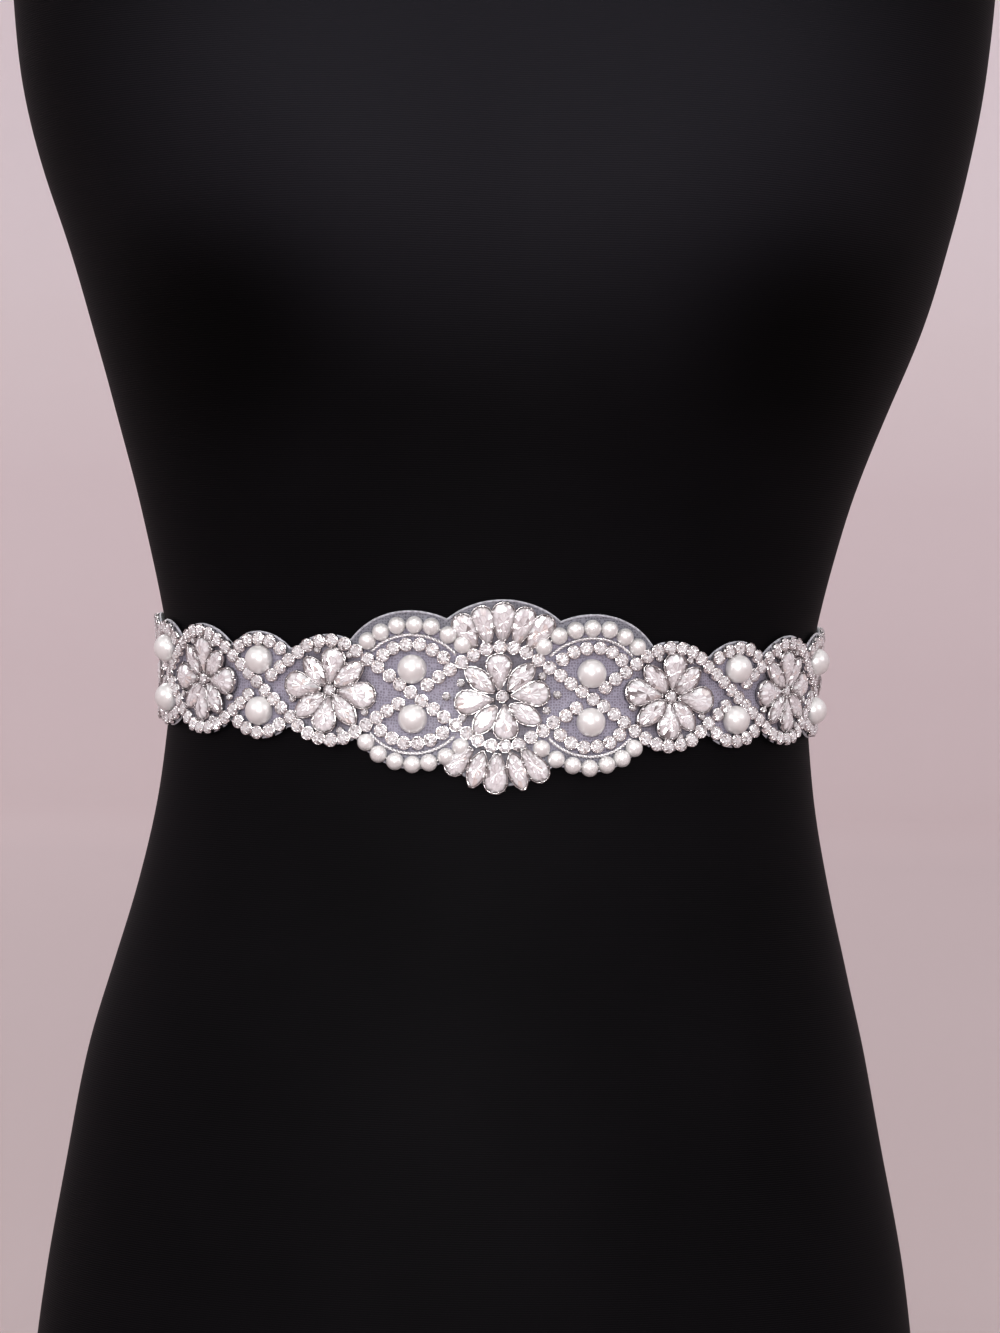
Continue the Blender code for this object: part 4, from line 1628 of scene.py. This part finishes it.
@dataclass
class CupChain(Beadwork):
    """Lengths of cup chain: the two strands that cross each other, and the small arches.

    Each arch: height of its centre, radius, half opening in radians.
    """

    patterns: StonePatterns = field(kw_only=True)
    clearance: float = 3.5
    eye_arch: Triple = (2.1, 13.9, math.radians(52.5))
    pair_arch: Triple = (2.2, 13.1, math.radians(48.0))
    wobble: float = 0.16
    twist: float = 0.07
    lean: float = math.radians(5.0)

    def places(self, route: Outline, luck: random.Random) -> list[Matrix]:
        """Place of each cup along a route, with the small unevenness of hand sewing.

        Args:
            route: The route.
            luck: The unevenness.

        Returns:
            The places.
        """
        count = max(2, round(self.routes.length(route) / self.patterns.chain_pitch))
        points = self.routes.resample(route, 2 * count)
        places = []
        for index in range(1, len(points), 2):
            before, here, after = points[index - 1], points[index], points[index + 1]
            spin = -math.atan2(after[1] - before[1], after[0] - before[0])
            along = here[0] + luck.uniform(-self.wobble, self.wobble)
            up = here[1] + luck.uniform(-self.wobble, self.wobble)
            spin += luck.uniform(-self.twist, self.twist)
            tilt = Matrix.Rotation(luck.uniform(-self.lean, self.lean), 4, "X")
            tilt @= Matrix.Rotation(luck.uniform(-self.lean, self.lean), 4, "Y")
            places.append(self.band.seat(along, up, self.foot, spin) @ tilt)
        return places

    def runs(self) -> list[tuple[str, Outline]]:
        """Routes of every length of chain.

        Returns:
            The name of each length's node, and its route.
        """
        routes, pairs = self.routes, self.routes.pairs
        strands = (
            ("chain_middle_upper", routes.strand(-routes.eye, pairs[0], 1.0)),
            ("chain_middle_lower", routes.strand(-pairs[0], routes.eye, -1.0)),
            ("chain_side_left", routes.strand(-pairs[1], -routes.eye, 1.0)),
            ("chain_side_right", routes.strand(routes.eye, pairs[1], -1.0)),
            ("chain_end_left", routes.end_loop(Side.LEFT)),
            ("chain_end_right", routes.end_loop(Side.RIGHT)),
        )
        lengths = [(name, routes.trimmed(route, self.clearance)) for name, route in strands]
        for word, along, level, is_eye in routes.crossings():
            arch = self.eye_arch if is_eye else self.pair_arch
            lengths.append((f"arch_{word}", routes.arc(along, *arch, level)))
        return lengths

    def build(self) -> None:
        """Copies the cups and stones along every length."""
        seed = 0
        for name, route in self.runs():
            places = self.places(route, random.Random(name))
            cups = Bench.scatter(f"{name}_cups", self.patterns.chain_cup, places, seed)
            stones = Bench.scatter(f"{name}_stones", self.patterns.round_stone, places, seed)
            seed += len(places)
            self.finish(cups, self.finishes.silver, "chain_silver", name)
            self.finish(stones, self.finishes.crystal, "crystal_clear")


@dataclass(frozen=True)
class Petal:
    """One claw-set stone of a flower or fan, by its middle line from root to tip."""

    cut: Cut
    root: Flat
    tip: Flat
    width: float


@dataclass
class StoneWork(Beadwork):
    """Flowers, fans and the small stones that fill the gaps beside them.

    Uneven sizes and turns, in millimetres or radians, are the ends of their ranges. Petals that
    point sideways are fuller, by a growth of root, length and width.
    """

    patterns: StonePatterns = field(kw_only=True)
    core_radius: float = 1.9
    core_size: float = 2.05
    core_uneven: Flat = (-0.2, 0.3)
    length_uneven: Flat = (0.97, 1.02)
    start_uneven: float = 7.0
    turn_uneven: float = 3.5
    tilt_uneven: Flat = (-0.05, 0.07)
    roll_uneven: float = 0.08
    sideways: float = 0.7
    fuller: Triple = (0.55, 1.32, 0.55)
    droop: float = 0.13
    droop_below: float = -20.0
    pear: Flat = (12.1, 8.5)
    marquise: Flat = (11.9, 6.9)
    middle_petals: tuple[Petal, ...] = (
        Petal(Cut.PEAR, (-1.0, 1.9), (-1.5, 13.8), 8.6),
        Petal(Cut.MARQUISE, (1.5, 1.9), (9.7, 10.6), 6.9),
        Petal(Cut.PEAR, (2.3, 0.3), (15.0, 1.6), 8.5),
        Petal(Cut.MARQUISE, (2.0, -2.6), (12.3, -8.2), 6.8),
        Petal(Cut.PEAR, (0.6, -2.4), (1.5, -14.1), 8.4),
        Petal(Cut.MARQUISE, (-1.7, -2.9), (-8.5, -12.1), 6.9),
        Petal(Cut.PEAR, (-2.3, -1.1), (-15.0, -2.7), 8.4),
        Petal(Cut.MARQUISE, (-2.4, 1.2), (-11.8, 8.9), 6.8),
    )
    upper_fan: tuple[Petal, ...] = (
        Petal(Cut.DROP, (-8.5, 15.6), (-14.4, 26.0), 7.7),
        Petal(Cut.DROP, (-4.5, 16.9), (-7.7, 28.8), 7.6),
        Petal(Cut.DROP, (-0.4, 17.8), (-0.2, 30.4), 7.9),
        Petal(Cut.DROP, (3.7, 16.9), (7.3, 28.9), 7.6),
        Petal(Cut.DROP, (7.5, 15.7), (14.3, 26.1), 7.7),
    )
    lower_fan: tuple[Petal, ...] = (
        Petal(Cut.DROP, (-8.9, -16.4), (-16.4, -24.9), 6.9),
        Petal(Cut.MARQUISE, (-5.4, -17.2), (-9.0, -29.2), 6.6),
        Petal(Cut.DROP, (-1.3, -18.0), (-1.7, -31.0), 7.9),
        Petal(Cut.MARQUISE, (2.6, -17.5), (7.2, -29.6), 6.6),
        Petal(Cut.DROP, (6.3, -16.6), (13.9, -26.6), 7.2),
    )
    fills: tuple[Flat, ...] = (
        (-13.0, 4.0), (12.4, 6.7), (-17.4, -0.4), (-12.3, -7.2), (13.9, -4.2), (17.2, 0.9))
    fill_size: float = 1.3
    side_fill_size: float = 1.2
    side_fill_reach: float = 13.5
    side_fill_gaps: tuple[int, ...] = (0, 2, 3, 5, 7)

    def flower(self, turns: Sequence[float], luck: random.Random) -> list[Petal]:
        """Petals of one flower.

        Args:
            turns: Turn of each petal from the top, in degrees.
            luck: The unevenness.

        Returns:
            Pear and marquise petals by turns.
        """
        petals = []
        for index, degrees in enumerate(turns):
            cut, size = (Cut.MARQUISE, self.marquise) if index % 2 else (Cut.PEAR, self.pear)
            turn = math.radians(degrees)
            side, up = math.sin(turn), math.cos(turn)
            share = max(0.0, abs(side) - self.sideways) / (1.0 - self.sideways)
            root = self.core_radius + luck.uniform(*self.core_uneven)
            root, length, width = (
                plain + share * growth for plain, growth in zip((root, *size), self.fuller))
            tip = root + length * luck.uniform(*self.length_uneven)
            petals.append(Petal(cut, (side * root, up * root), (side * tip, up * tip), width))
        return petals

    def place(self, along: float, petal: Petal, luck: random.Random) -> Matrix:
        """Place of one petal, drawn out to its length and width.

        Args:
            along: Station of its flower or fan.
            petal: The petal.
            luck: The unevenness.

        Returns:
            The place.
        """
        middle = [(a + b) / 2.0 for a, b in zip(petal.root, petal.tip)]
        length = math.dist(petal.root, petal.tip)
        spin = math.atan2(petal.tip[0] - petal.root[0], petal.tip[1] - petal.root[1])
        seat = self.band.seat(along + middle[0], middle[1], self.foot, spin)
        stock_length, stock_width = petal.cut.value.size
        stretch = Matrix.Diagonal((petal.width / stock_width, length / stock_length, 1.0, 1.0))
        droop = self.droop if petal.tip[1] < self.droop_below else 0.0
        tilt = Matrix.Rotation(luck.uniform(*self.tilt_uneven) - droop, 4, "X")
        tilt @= Matrix.Rotation(luck.uniform(-self.roll_uneven, self.roll_uneven), 4, "Y")
        return seat @ tilt @ stretch

    def make(self, name: str, along: float, petals: Sequence[Petal],
             spots: Sequence[Triple] = ()) -> None:
        """Makes one flower or fan as two pieces, its stones and its settings.

        Args:
            name: The node that they stand for.
            along: Station of the flower.
            petals: Its claw-set stones.
            spots: Flat place and size of each of its small round stones.
        """
        luck = random.Random(name)
        patterns, stones, settings = self.patterns, [], []
        for number, cut in enumerate(Cut):
            places = [self.place(along, petal, luck) for petal in petals if petal.cut is cut]
            if not places:
                continue
            seed = 500 + 40 * number + luck.randrange(900)
            stones.append(Bench.scatter("stones", patterns.stones[cut], places, seed))
            settings.append(Bench.scatter("settings", patterns.settings[cut], places, seed))
        if spots:
            rounds = []
            for x, up, size in spots:
                share = size / patterns.chain_radius
                stretch = Matrix.Diagonal((share, share, 0.5 + 0.5 * share, 1.0))
                rounds.append(self.band.seat(along + x, up, self.foot) @ stretch)
            seed = luck.randrange(900)
            stones.append(Bench.scatter("stones", patterns.round_stone, rounds, seed))
            settings.append(Bench.scatter("settings", patterns.single_cup, rounds))
        setting = Bench.join(f"{name}_settings", settings)
        self.finish(setting, self.finishes.claws, "chain_silver")
        self.finish(Bench.join(f"{name}_stones", stones), self.finishes.petal, "crystal_clear", name)

    def build(self) -> None:
        """Makes the seven flowers and the two fans."""
        core = (0.0, 0.0, self.core_size)
        fills = [(x, up, self.fill_size) for x, up in self.fills]
        self.make("flower_middle", 0.0, self.middle_petals, [core] + fills)
        for side in Side:
            for number, along in enumerate(self.routes.flowers, 1):
                luck = random.Random(f"petals {number} {side.word}")
                start = luck.uniform(-self.start_uneven, self.start_uneven)
                turns = [start + 45.0 * index + luck.uniform(-self.turn_uneven, self.turn_uneven)
                         for index in range(8)]
                gaps = [math.radians(turns[index] + 22.5) for index in self.side_fill_gaps]
                reach = self.side_fill_reach
                fills = [(reach * math.sin(turn), reach * math.cos(turn), self.side_fill_size)
                         for turn in gaps]
                self.make(f"flower_{number}_{side.word}", side.value * along,
                          self.flower(turns, luck), [core] + fills)
        self.make("fan_upper", 0.0, self.upper_fan)
        self.make("fan_lower", 0.0, self.lower_fan)


@dataclass
class Pearls(Beadwork):
    """Large pearls in the crossings and rows of small pearls round the eyes."""

    back: float = -0.35
    crease: float = 40.0
    large_radius: float = 4.65
    large_raised: float = 1.0
    large_up: float = 8.4
    eye_large_up: float = 7.9
    large_uneven: Flat = (0.3, 0.2)
    small_radius: float = 2.8
    small_raised: float = 0.6
    small_count: int = 7
    small_uneven: Flat = (0.2, 0.25)
    row_radius: float = 21.4
    row_centre: float = 1.0
    row_step: float = math.radians(14.7)
    row_shift: float = 0.5
    thread_radius: float = 0.3

    def pearl(self, radius: float, raised: float, segments: int) -> Piece:
        """Flat-backed pearl, cut from a ball.

        Args:
            radius: Radius of the pearl.
            raised: Height of its middle over the net.
            segments: Segments round it.

        Returns:
            The pattern.
        """
        Bench.clear()
        bpy.ops.mesh.primitive_uv_sphere_add(segments=segments, ring_count=segments // 2,
                                             radius=radius, location=(0.0, 0.0, raised))
        piece = Bench.added("pattern_pearl")
        with Bench.editing(piece):
            bpy.ops.mesh.bisect(plane_co=(0.0, 0.0, self.back), plane_no=(0.0, 0.0, -1.0),
                                use_fill=True, clear_outer=True)
        Bench.smooth(piece, self.crease)
        return piece

    def seat(self, along: float, up: float, uneven: Flat, luck: random.Random) -> Matrix:
        """Place of a pearl, a little off where it should be.

        Args:
            along: Distance along the waist.
            up: Height over the middle line.
            uneven: How far it may be off, along and up.
            luck: The unevenness.

        Returns:
            The place.
        """
        along += luck.uniform(-uneven[0], uneven[0])
        up += luck.uniform(-uneven[1], uneven[1])
        return self.band.seat(along, up, self.foot)

    def build_large(self) -> None:
        """Models one large pearl and copies it to every crossing."""
        pattern = self.pearl(self.large_radius, self.large_raised, 40)
        for word, along, level, is_eye in self.routes.crossings():
            name = f"pearl_{word}"
            up = level.value * (self.eye_large_up if is_eye else self.large_up)
            place = self.seat(along, up, self.large_uneven, random.Random(name))
            piece = Bench.scatter(f"{name}_bead", pattern, [place])
            self.finish(piece, self.finishes.pearl, "pearl_white", name)
        bpy.data.objects.remove(pattern, do_unlink=True)

    def build_rows(self) -> None:
        """Strings the rows of small pearls."""
        pattern = self.pearl(self.small_radius, self.small_raised, 24)
        half = self.row_step * (self.small_count - 1) / 2.0
        for word, way, level in self.routes.eyes():
            name = f"pearl_row_{word}"
            luck = random.Random(name)
            centre = way * (self.routes.eye - self.row_shift)
            route = self.routes.arc(centre, self.row_centre, self.row_radius, half, level)
            places = [self.seat(*spot, self.small_uneven, luck)
                      for spot in self.routes.resample(route, self.small_count - 1)]
            pearls = Bench.scatter("pearls", pattern, places)
            line = [self.band.point(*spot, self.foot + self.small_raised) for spot in route]
            thread = Bench.tube("thread", line, self.thread_radius)
            piece = Bench.join(f"{name}_beads", [pearls, thread])
            self.finish(piece, self.finishes.pearl, "pearl_white", name)
        bpy.data.objects.remove(pattern, do_unlink=True)

    def build(self) -> None:
        """Makes all the pearls."""
        self.build_large()
        self.build_rows()


@dataclass
class SilverCord(Beadwork):
    """Twisted silver cord between the arches and the rows of small pearls."""

    out: float = 2.05
    arc_radius: float = 18.1
    arc_centre: float = 0.9
    half_span: float = 13.3
    strands: int = 2
    strand_radius: float = 0.34
    twist_radius: float = 0.27
    twist_pitch: float = 2.3
    step: float = 0.2

    def strand(self, route: Outline, phase: float) -> list[Vector]:
        """Middle line of one strand of the twist.

        Args:
            route: Route of the cord.
            phase: Turn of the strand round the cord at its start, in radians.

        Returns:
            The line.
        """
        points = self.routes.resample(route, round(self.routes.length(route) / self.step))
        line = []
        for index, (along, up) in enumerate(points):
            after = points[min(index + 1, len(points) - 1)]
            before = points[max(index - 1, 0)]
            span = math.dist(before, after)
            turn = phase + math.tau * index * self.step / self.twist_pitch
            across = self.twist_radius * math.cos(turn)
            line.append(self.band.point(along + (before[1] - after[1]) / span * across,
                                        up + (after[0] - before[0]) / span * across,
                                        self.out + self.twist_radius * math.sin(turn)))
        return line

    def build(self) -> None:
        """Twists the four cords."""
        half_angle = math.asin(self.half_span / self.arc_radius)
        phases = [math.tau * number / self.strands for number in range(self.strands)]
        for word, way, level in self.routes.eyes():
            route = self.routes.arc(way * self.routes.eye, self.arc_centre, self.arc_radius,
                                    half_angle, level)
            parts = [Bench.tube("strand", self.strand(route, phase), self.strand_radius)
                     for phase in phases]
            piece = Bench.join(f"cord_{word}_twist", parts)
            self.finish(piece, self.finishes.thread, "cord_silver", f"cord_{word}")


# ---- ribbon


@dataclass
class RibbonTie(Assembly):
    """Satin ribbon from the ends of the net to the knot, and its hanging tails."""

    net_end: float = 180.0
    seam: float = 0.3
    cloth_gap: float = 0.55
    thickness: float = 0.5
    half_width: float = 12.5
    selvedge_rise: float = 0.22
    selvedge_share: float = 0.035
    crease: float = 60.0
    rows: int = 40
    half_columns: int = 150
    gathered_half_width: float = 6.0
    gather_length: float = 34.0
    gather_lift: float = 2.0
    fold_depth: float = 1.3
    fine_depth: float = 0.35
    folds: int = 2
    sway: float = 0.25
    knot_size: Triple = (18.0, 17.0, 10.0)
    knot_gap: float = 0.8
    knot_cuts: int = 23
    knot_power: float = 3.4
    knot_groove: float = 0.085
    knot_waist: float = 0.10
    knot_length: float = 24.0
    tail_columns: int = 160
    tail_length: float = 215.0
    tail_slant: float = 15.0
    tail_root_x: float = 4.9
    tail_end_x: float = 29.0
    tail_root_half_width: float = 4.0
    tail_spread: float = 0.3
    tail_gap: float = 0.8
    tail_fold_depth: float = 2.2
    tail_fold_drift: float = 0.8
    tail_fold_fade: float = 0.55

    def selvedge(self, across: float) -> float:
        """Rise of the firm edge at each side of the ribbon."""
        return self.selvedge_rise * math.exp(-((1.0 - abs(across)) / self.selvedge_share) ** 2)

    def flat_size(self, length: float) -> Flat:
        """Width and length of a stretch of ribbon, in metres."""
        return 2.0 * self.half_width * METRES_PER_MM, length * METRES_PER_MM

    def lay_cloth(self, name: str, columns: int, length: float, node: str,
                  lay: Callable[[Vector], Vector]) -> Piece:
        """Models a stretch of ribbon and finishes it.

        Args:
            name: Name of the piece.
            columns: Faces along it.
            length: Its length.
            node: The node that it stands for.
            lay: Where a point of the flat ribbon goes, its x and y from 0 to 1.

        Returns:
            The cloth.
        """
        piece = Bench.grid(name, columns, self.rows)
        width = 2.0 * self.half_width
        Bench.unwrap(piece, [(vertex.co.x * length, vertex.co.y * width)
                             for vertex in piece.data.vertices])
        Bench.reshape(piece, lay)
        Bench.face_out(piece)
        Bench.thicken(piece, self.thickness, 0.0)
        Bench.smooth(piece, self.crease)
        self.finish(piece, self.finishes.satin, "satin_ivory", node)
        return piece

    def build_half(self, side: Side) -> None:
        """Models the half of the ribbon that runs to the knot and gathers beside it.

        Args:
            side: The side.
        """
        start = self.net_end + self.seam
        end = self.band.half_waist - self.knot_size[0] / 2.0 - self.seam
        gather_start = end - self.gather_length

        def lay(point: Vector) -> Vector:
            """Lays a point of the flat ribbon on the band.

            Args:
                point: The point.

            Returns:
                Its place.
            """
            along = start + (end - start) * point.x
            share = max(0.0, (along - gather_start) / self.gather_length)
            gather = ease(share)
            half = self.half_width + (self.gathered_half_width - self.half_width) * gather
            across = 2.0 * point.y - 1.0
            wave = 0.5 - 0.5 * math.cos(math.pi * self.folds * (across + 1.0))
            fine = 0.5 + 0.5 * math.sin(9.0 * across + 3.0 * share + 0.6 * side.value)
            out = self.cloth_gap + self.thickness + self.gather_lift * gather
            out += self.fold_depth * gather * wave + self.fine_depth * gather * fine
            out += self.selvedge(across) + self.sway * math.sin(along * 0.09) * across * across
            return self.band.point(side.value * along, half * across, out)

        piece = self.lay_cloth(f"ribbon_{side.word}_cloth", self.half_columns, end - start,
                               f"ribbon_{side.word}", lay)

    def build_tail(self, side: Side) -> None:
        """Models a hanging end with soft folds and a slanting cut.

        Args:
            side: The side.
        """
        top = self.band.back_rise - self.knot_size[1] / 2.0 - self.seam

        def hang(point: Vector) -> Vector:
            """Hangs a point of the flat tail over the back of the form.

            Args:
                point: The point.

            Returns:
                Its place.
            """
            share, across = point.x, 2.0 * point.y - 1.0
            spread = ease(min(1.0, share / self.tail_spread))
            half = self.tail_root_half_width
            half += (self.half_width - self.tail_root_half_width) * spread
            middle = self.tail_root_x
            middle += (self.tail_end_x - self.tail_root_x) * math.sin(share * math.pi / 2.0)
            drift = 2.0 * across + self.tail_fold_drift * share
            wave = 0.5 + 0.5 * math.cos(math.pi * drift)
            fine = 0.5 + 0.5 * math.sin(11.0 * across + side.value)
            lift = self.tail_fold_depth * wave * (1.0 - self.tail_fold_fade * share)
            lift += self.fine_depth * (1.0 - spread) * fine
            level = top - share * (self.tail_length - self.tail_slant * (0.5 + 0.5 * across))
            out = self.tail_gap + self.thickness / 2.0 + lift + self.selvedge(across)
            return self.band.back_point(side.value * (middle + half * across), level, out)

        piece = self.lay_cloth(f"ribbon_tail_{side.word}_cloth", self.tail_columns,
                               self.tail_length, f"ribbon_tail_{side.word}", hang)
        width, length = self.flat_size(self.tail_length)

    def build_knot(self) -> None:
        """Models the knot: a short wrap of ribbon drawn tight over itself."""
        Bench.clear()
        bpy.ops.mesh.primitive_cube_add(size=2.0)
        piece = Bench.added("ribbon_knot_cloth")
        with Bench.editing(piece):
            bpy.ops.mesh.subdivide(number_cuts=self.knot_cuts)
        half_x, half_y, half_z = (size / 2.0 for size in self.knot_size)
        seat = self.band.seat(self.band.half_waist, 0.0, self.knot_gap + half_z)

        def wrap(point: Vector) -> Vector:
            """Rounds the block and presses the wrap's folds into it.

            Args:
                point: Point of the block.

            Returns:
                Its place.
            """
            length = sum(abs(part) ** self.knot_power for part in point) ** (1.0 / self.knot_power)
            x, y, z = point / length
            fold = abs(math.sin(3.4 * (x + 0.35 * y) + 0.4 * math.sin(2.0 * y)))
            groove = self.knot_groove * (1.0 - fold) ** 3 * max(0.0, 1.0 - abs(y) ** 4)
            waist = 1.0 - self.knot_waist * (1.0 - y * y)
            return seat @ Vector((x * half_x * (1.0 - groove * 0.5) * waist,
                                  y * half_y * (1.0 - groove), z * half_z * (1.0 - groove * 2.0)))

        Bench.reshape(piece, wrap)
        Bench.take(piece)
        bpy.ops.object.shade_smooth()
        Bench.unwrap(piece, [(vertex.co.z, vertex.co.x) for vertex in piece.data.vertices])
        self.finish(piece, self.finishes.satin, "satin_ivory", "ribbon_knot")
        self.flat_size(self.knot_length)

    def build(self) -> None:
        """Makes the ribbon, the knot and the tails."""
        self.build_knot()
        for side in Side:
            self.build_half(side)
            self.build_tail(side)


@dataclass
class SeamStitches(Assembly):
    """Hand stitches that hold the ribbon to each end of the net."""

    seam: float = 180.15
    reach: float = 1.5
    slant: float = 0.5
    count: int = 13
    half_span: float = 10.8
    unevenness: float = 0.25
    out: float = 1.3
    crown: float = 0.55
    radius: float = 0.16

    def build(self) -> None:
        """Sews both seams, with stitches that arch from the net over the seam to the ribbon."""
        for side in Side:
            luck = random.Random(f"stitches {side.word}")
            stitches = []
            for step in range(self.count):
                up = self.half_span * (2.0 * step / (self.count - 1) - 1.0)
                up += luck.uniform(-self.unevenness, self.unevenness)
                line = [self.band.point(side.value * (self.seam + self.reach * share),
                                        up + self.slant * share,
                                        self.out + self.crown * (1.0 - share * share))
                        for share in (-1.0, -0.5, 0.0, 0.5, 1.0)]
                stitches.append(Bench.tube("stitch", line, self.radius))
            piece = Bench.join(f"seam_stitches_{side.word}", stitches)
            self.finish(piece, self.finishes.thread, "cord_silver")


# ---- studio


@dataclass(frozen=True)
class SoftBox:
    """Soft light: its place, its width and height, its power and how wide it fans out."""

    name: str
    place: Triple
    size: Flat
    power: float
    spread: float = math.pi

    def build(self, aim: Vector) -> None:
        """Sets up the light.

        Args:
            aim: What it points at.
        """
        Bench.clear()
        bpy.ops.object.light_add(type="AREA", location=self.place)
        light = bpy.context.object
        light.name = light.data.name = self.name
        light.rotation_euler = (aim - Vector(self.place)).to_track_quat("-Z", "Y").to_euler()
        light.data.shape = "RECTANGLE"
        light.data.size, light.data.size_y = self.size
        light.data.energy = self.power
        light.data.spread = self.spread
        light.visible_camera = False


@dataclass
class Studio:
    """Pale floor that curves up all round, soft lights and the camera, in metres."""

    floor_radius: float = 6.5
    floor_corners: int = 128
    curve_radius: float = 2.0
    curve_steps: int = 14
    wall_height: float = 3.2
    camera_distance: float = 1.4
    camera_height: float = 0.2845
    camera_turn: float = math.radians(2.7)
    camera_aim_right: float = 0.0034
    camera_roll: float = math.radians(1.2)
    lens: float = 112.0
    aim: Triple = (0.0, 0.0, 0.3)
    lights: tuple[SoftBox, ...] = (
        SoftBox("soft_key", (-0.18, -2.2, 0.64), (0.5, 0.5), 6.8, math.radians(90.0)),
        SoftBox("soft_left", (-2.9, -2.3, 2.0), (1.4, 1.2), 37.0),
        SoftBox("soft_right", (2.9, -2.3, 2.0), (1.4, 1.2), 27.0),
        SoftBox("soft_top", (-0.2, -1.4, 3.2), (1.2, 1.0), 12.0),
        SoftBox("soft_back", (-1.5, 6.0, 4.6), (1.6, 1.6), 95.0),
    )
    air_colour: tuple[float, float, float, float] = (1.0, 0.98, 0.99, 1.0)
    air_strength: float = 0.9

    def build_camera(self) -> None:
        """Sets the camera in front of the waist."""
        forward = Vector((math.sin(self.camera_turn), math.cos(self.camera_turn), 0.0))
        right = Vector((forward.y, -forward.x, 0.0))
        height = Vector((0.0, 0.0, self.camera_height))
        place = height - forward * self.camera_distance
        ahead = height + right * self.camera_aim_right - place
        turned = ahead.to_track_quat("-Z", "Y").to_matrix().to_4x4()
        turned @= Matrix.Rotation(self.camera_roll, 4, "Z")
        Bench.clear()
        bpy.ops.object.camera_add()
        camera = bpy.context.object
        camera.matrix_world = Matrix.Translation(place) @ turned
        camera.data.lens = self.lens
        bpy.context.scene.camera = camera

    def build_floor(self) -> None:
        """Models the floor and the wall that it runs up into."""
        Bench.clear()
        bpy.ops.mesh.primitive_circle_add(vertices=self.floor_corners, radius=self.floor_radius,
                                          fill_type="NGON")
        floor = Bench.added("studio_floor")
        turns = [math.pi / 2.0 * step / self.curve_steps for step in range(self.curve_steps + 1)]
        radius = self.floor_radius
        with Bench.editing(floor, "EDGE"):
            for before, turn in zip(turns, turns[1:]):
                grown = self.floor_radius + self.curve_radius * math.sin(turn)
                rise = self.curve_radius * (math.cos(before) - math.cos(turn))
                bpy.ops.mesh.extrude_edges_move(TRANSFORM_OT_translate={"value": (0.0, 0.0, rise)})
                bpy.ops.transform.resize(value=(grown / radius, grown / radius, 1.0),
                                         center_override=(0.0, 0.0, 0.0))
                radius = grown
            bpy.ops.mesh.extrude_edges_move(
                TRANSFORM_OT_translate={"value": (0.0, 0.0, self.wall_height)})
        Bench.take(floor)
        bpy.ops.object.shade_smooth()
        floor.data.materials.append(StudioFloor().material())

    def build(self) -> None:
        """Sets up the studio."""
        self.build_camera()
        self.build_floor()
        for light in self.lights:
            light.build(Vector(self.aim))
        world = bpy.data.worlds.new("studio_air")
        world.use_nodes = True
        air = world.node_tree.nodes["Background"]
        air.inputs["Color"].default_value = self.air_colour
        air.inputs["Strength"].default_value = self.air_strength
        bpy.context.scene.world = world
        bpy.context.scene.view_settings.view_transform = "Standard"


def main() -> None:
    """Builds the visual model piece by piece."""
    logging.basicConfig(level=logging.INFO, format="%(name)s: %(message)s")
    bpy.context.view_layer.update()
    Studio().build()
    finishes = Finishes.mixed()
    band = Band(FormShape())
    routes = Routes()
    patterns = StonePatterns(StoneCutter())
    for assembly in (DressForm(band, finishes), NetGround(band, finishes),
                     CupChain(band, finishes, routes, patterns=patterns),
                     StoneWork(band, finishes, routes, patterns=patterns),
                     Pearls(band, finishes, routes), SilverCord(band, finishes, routes),
                     RibbonTie(band, finishes), SeamStitches(band, finishes)):
        assembly.build()
    patterns.clear_away()


if __name__ == "__main__":
    main()
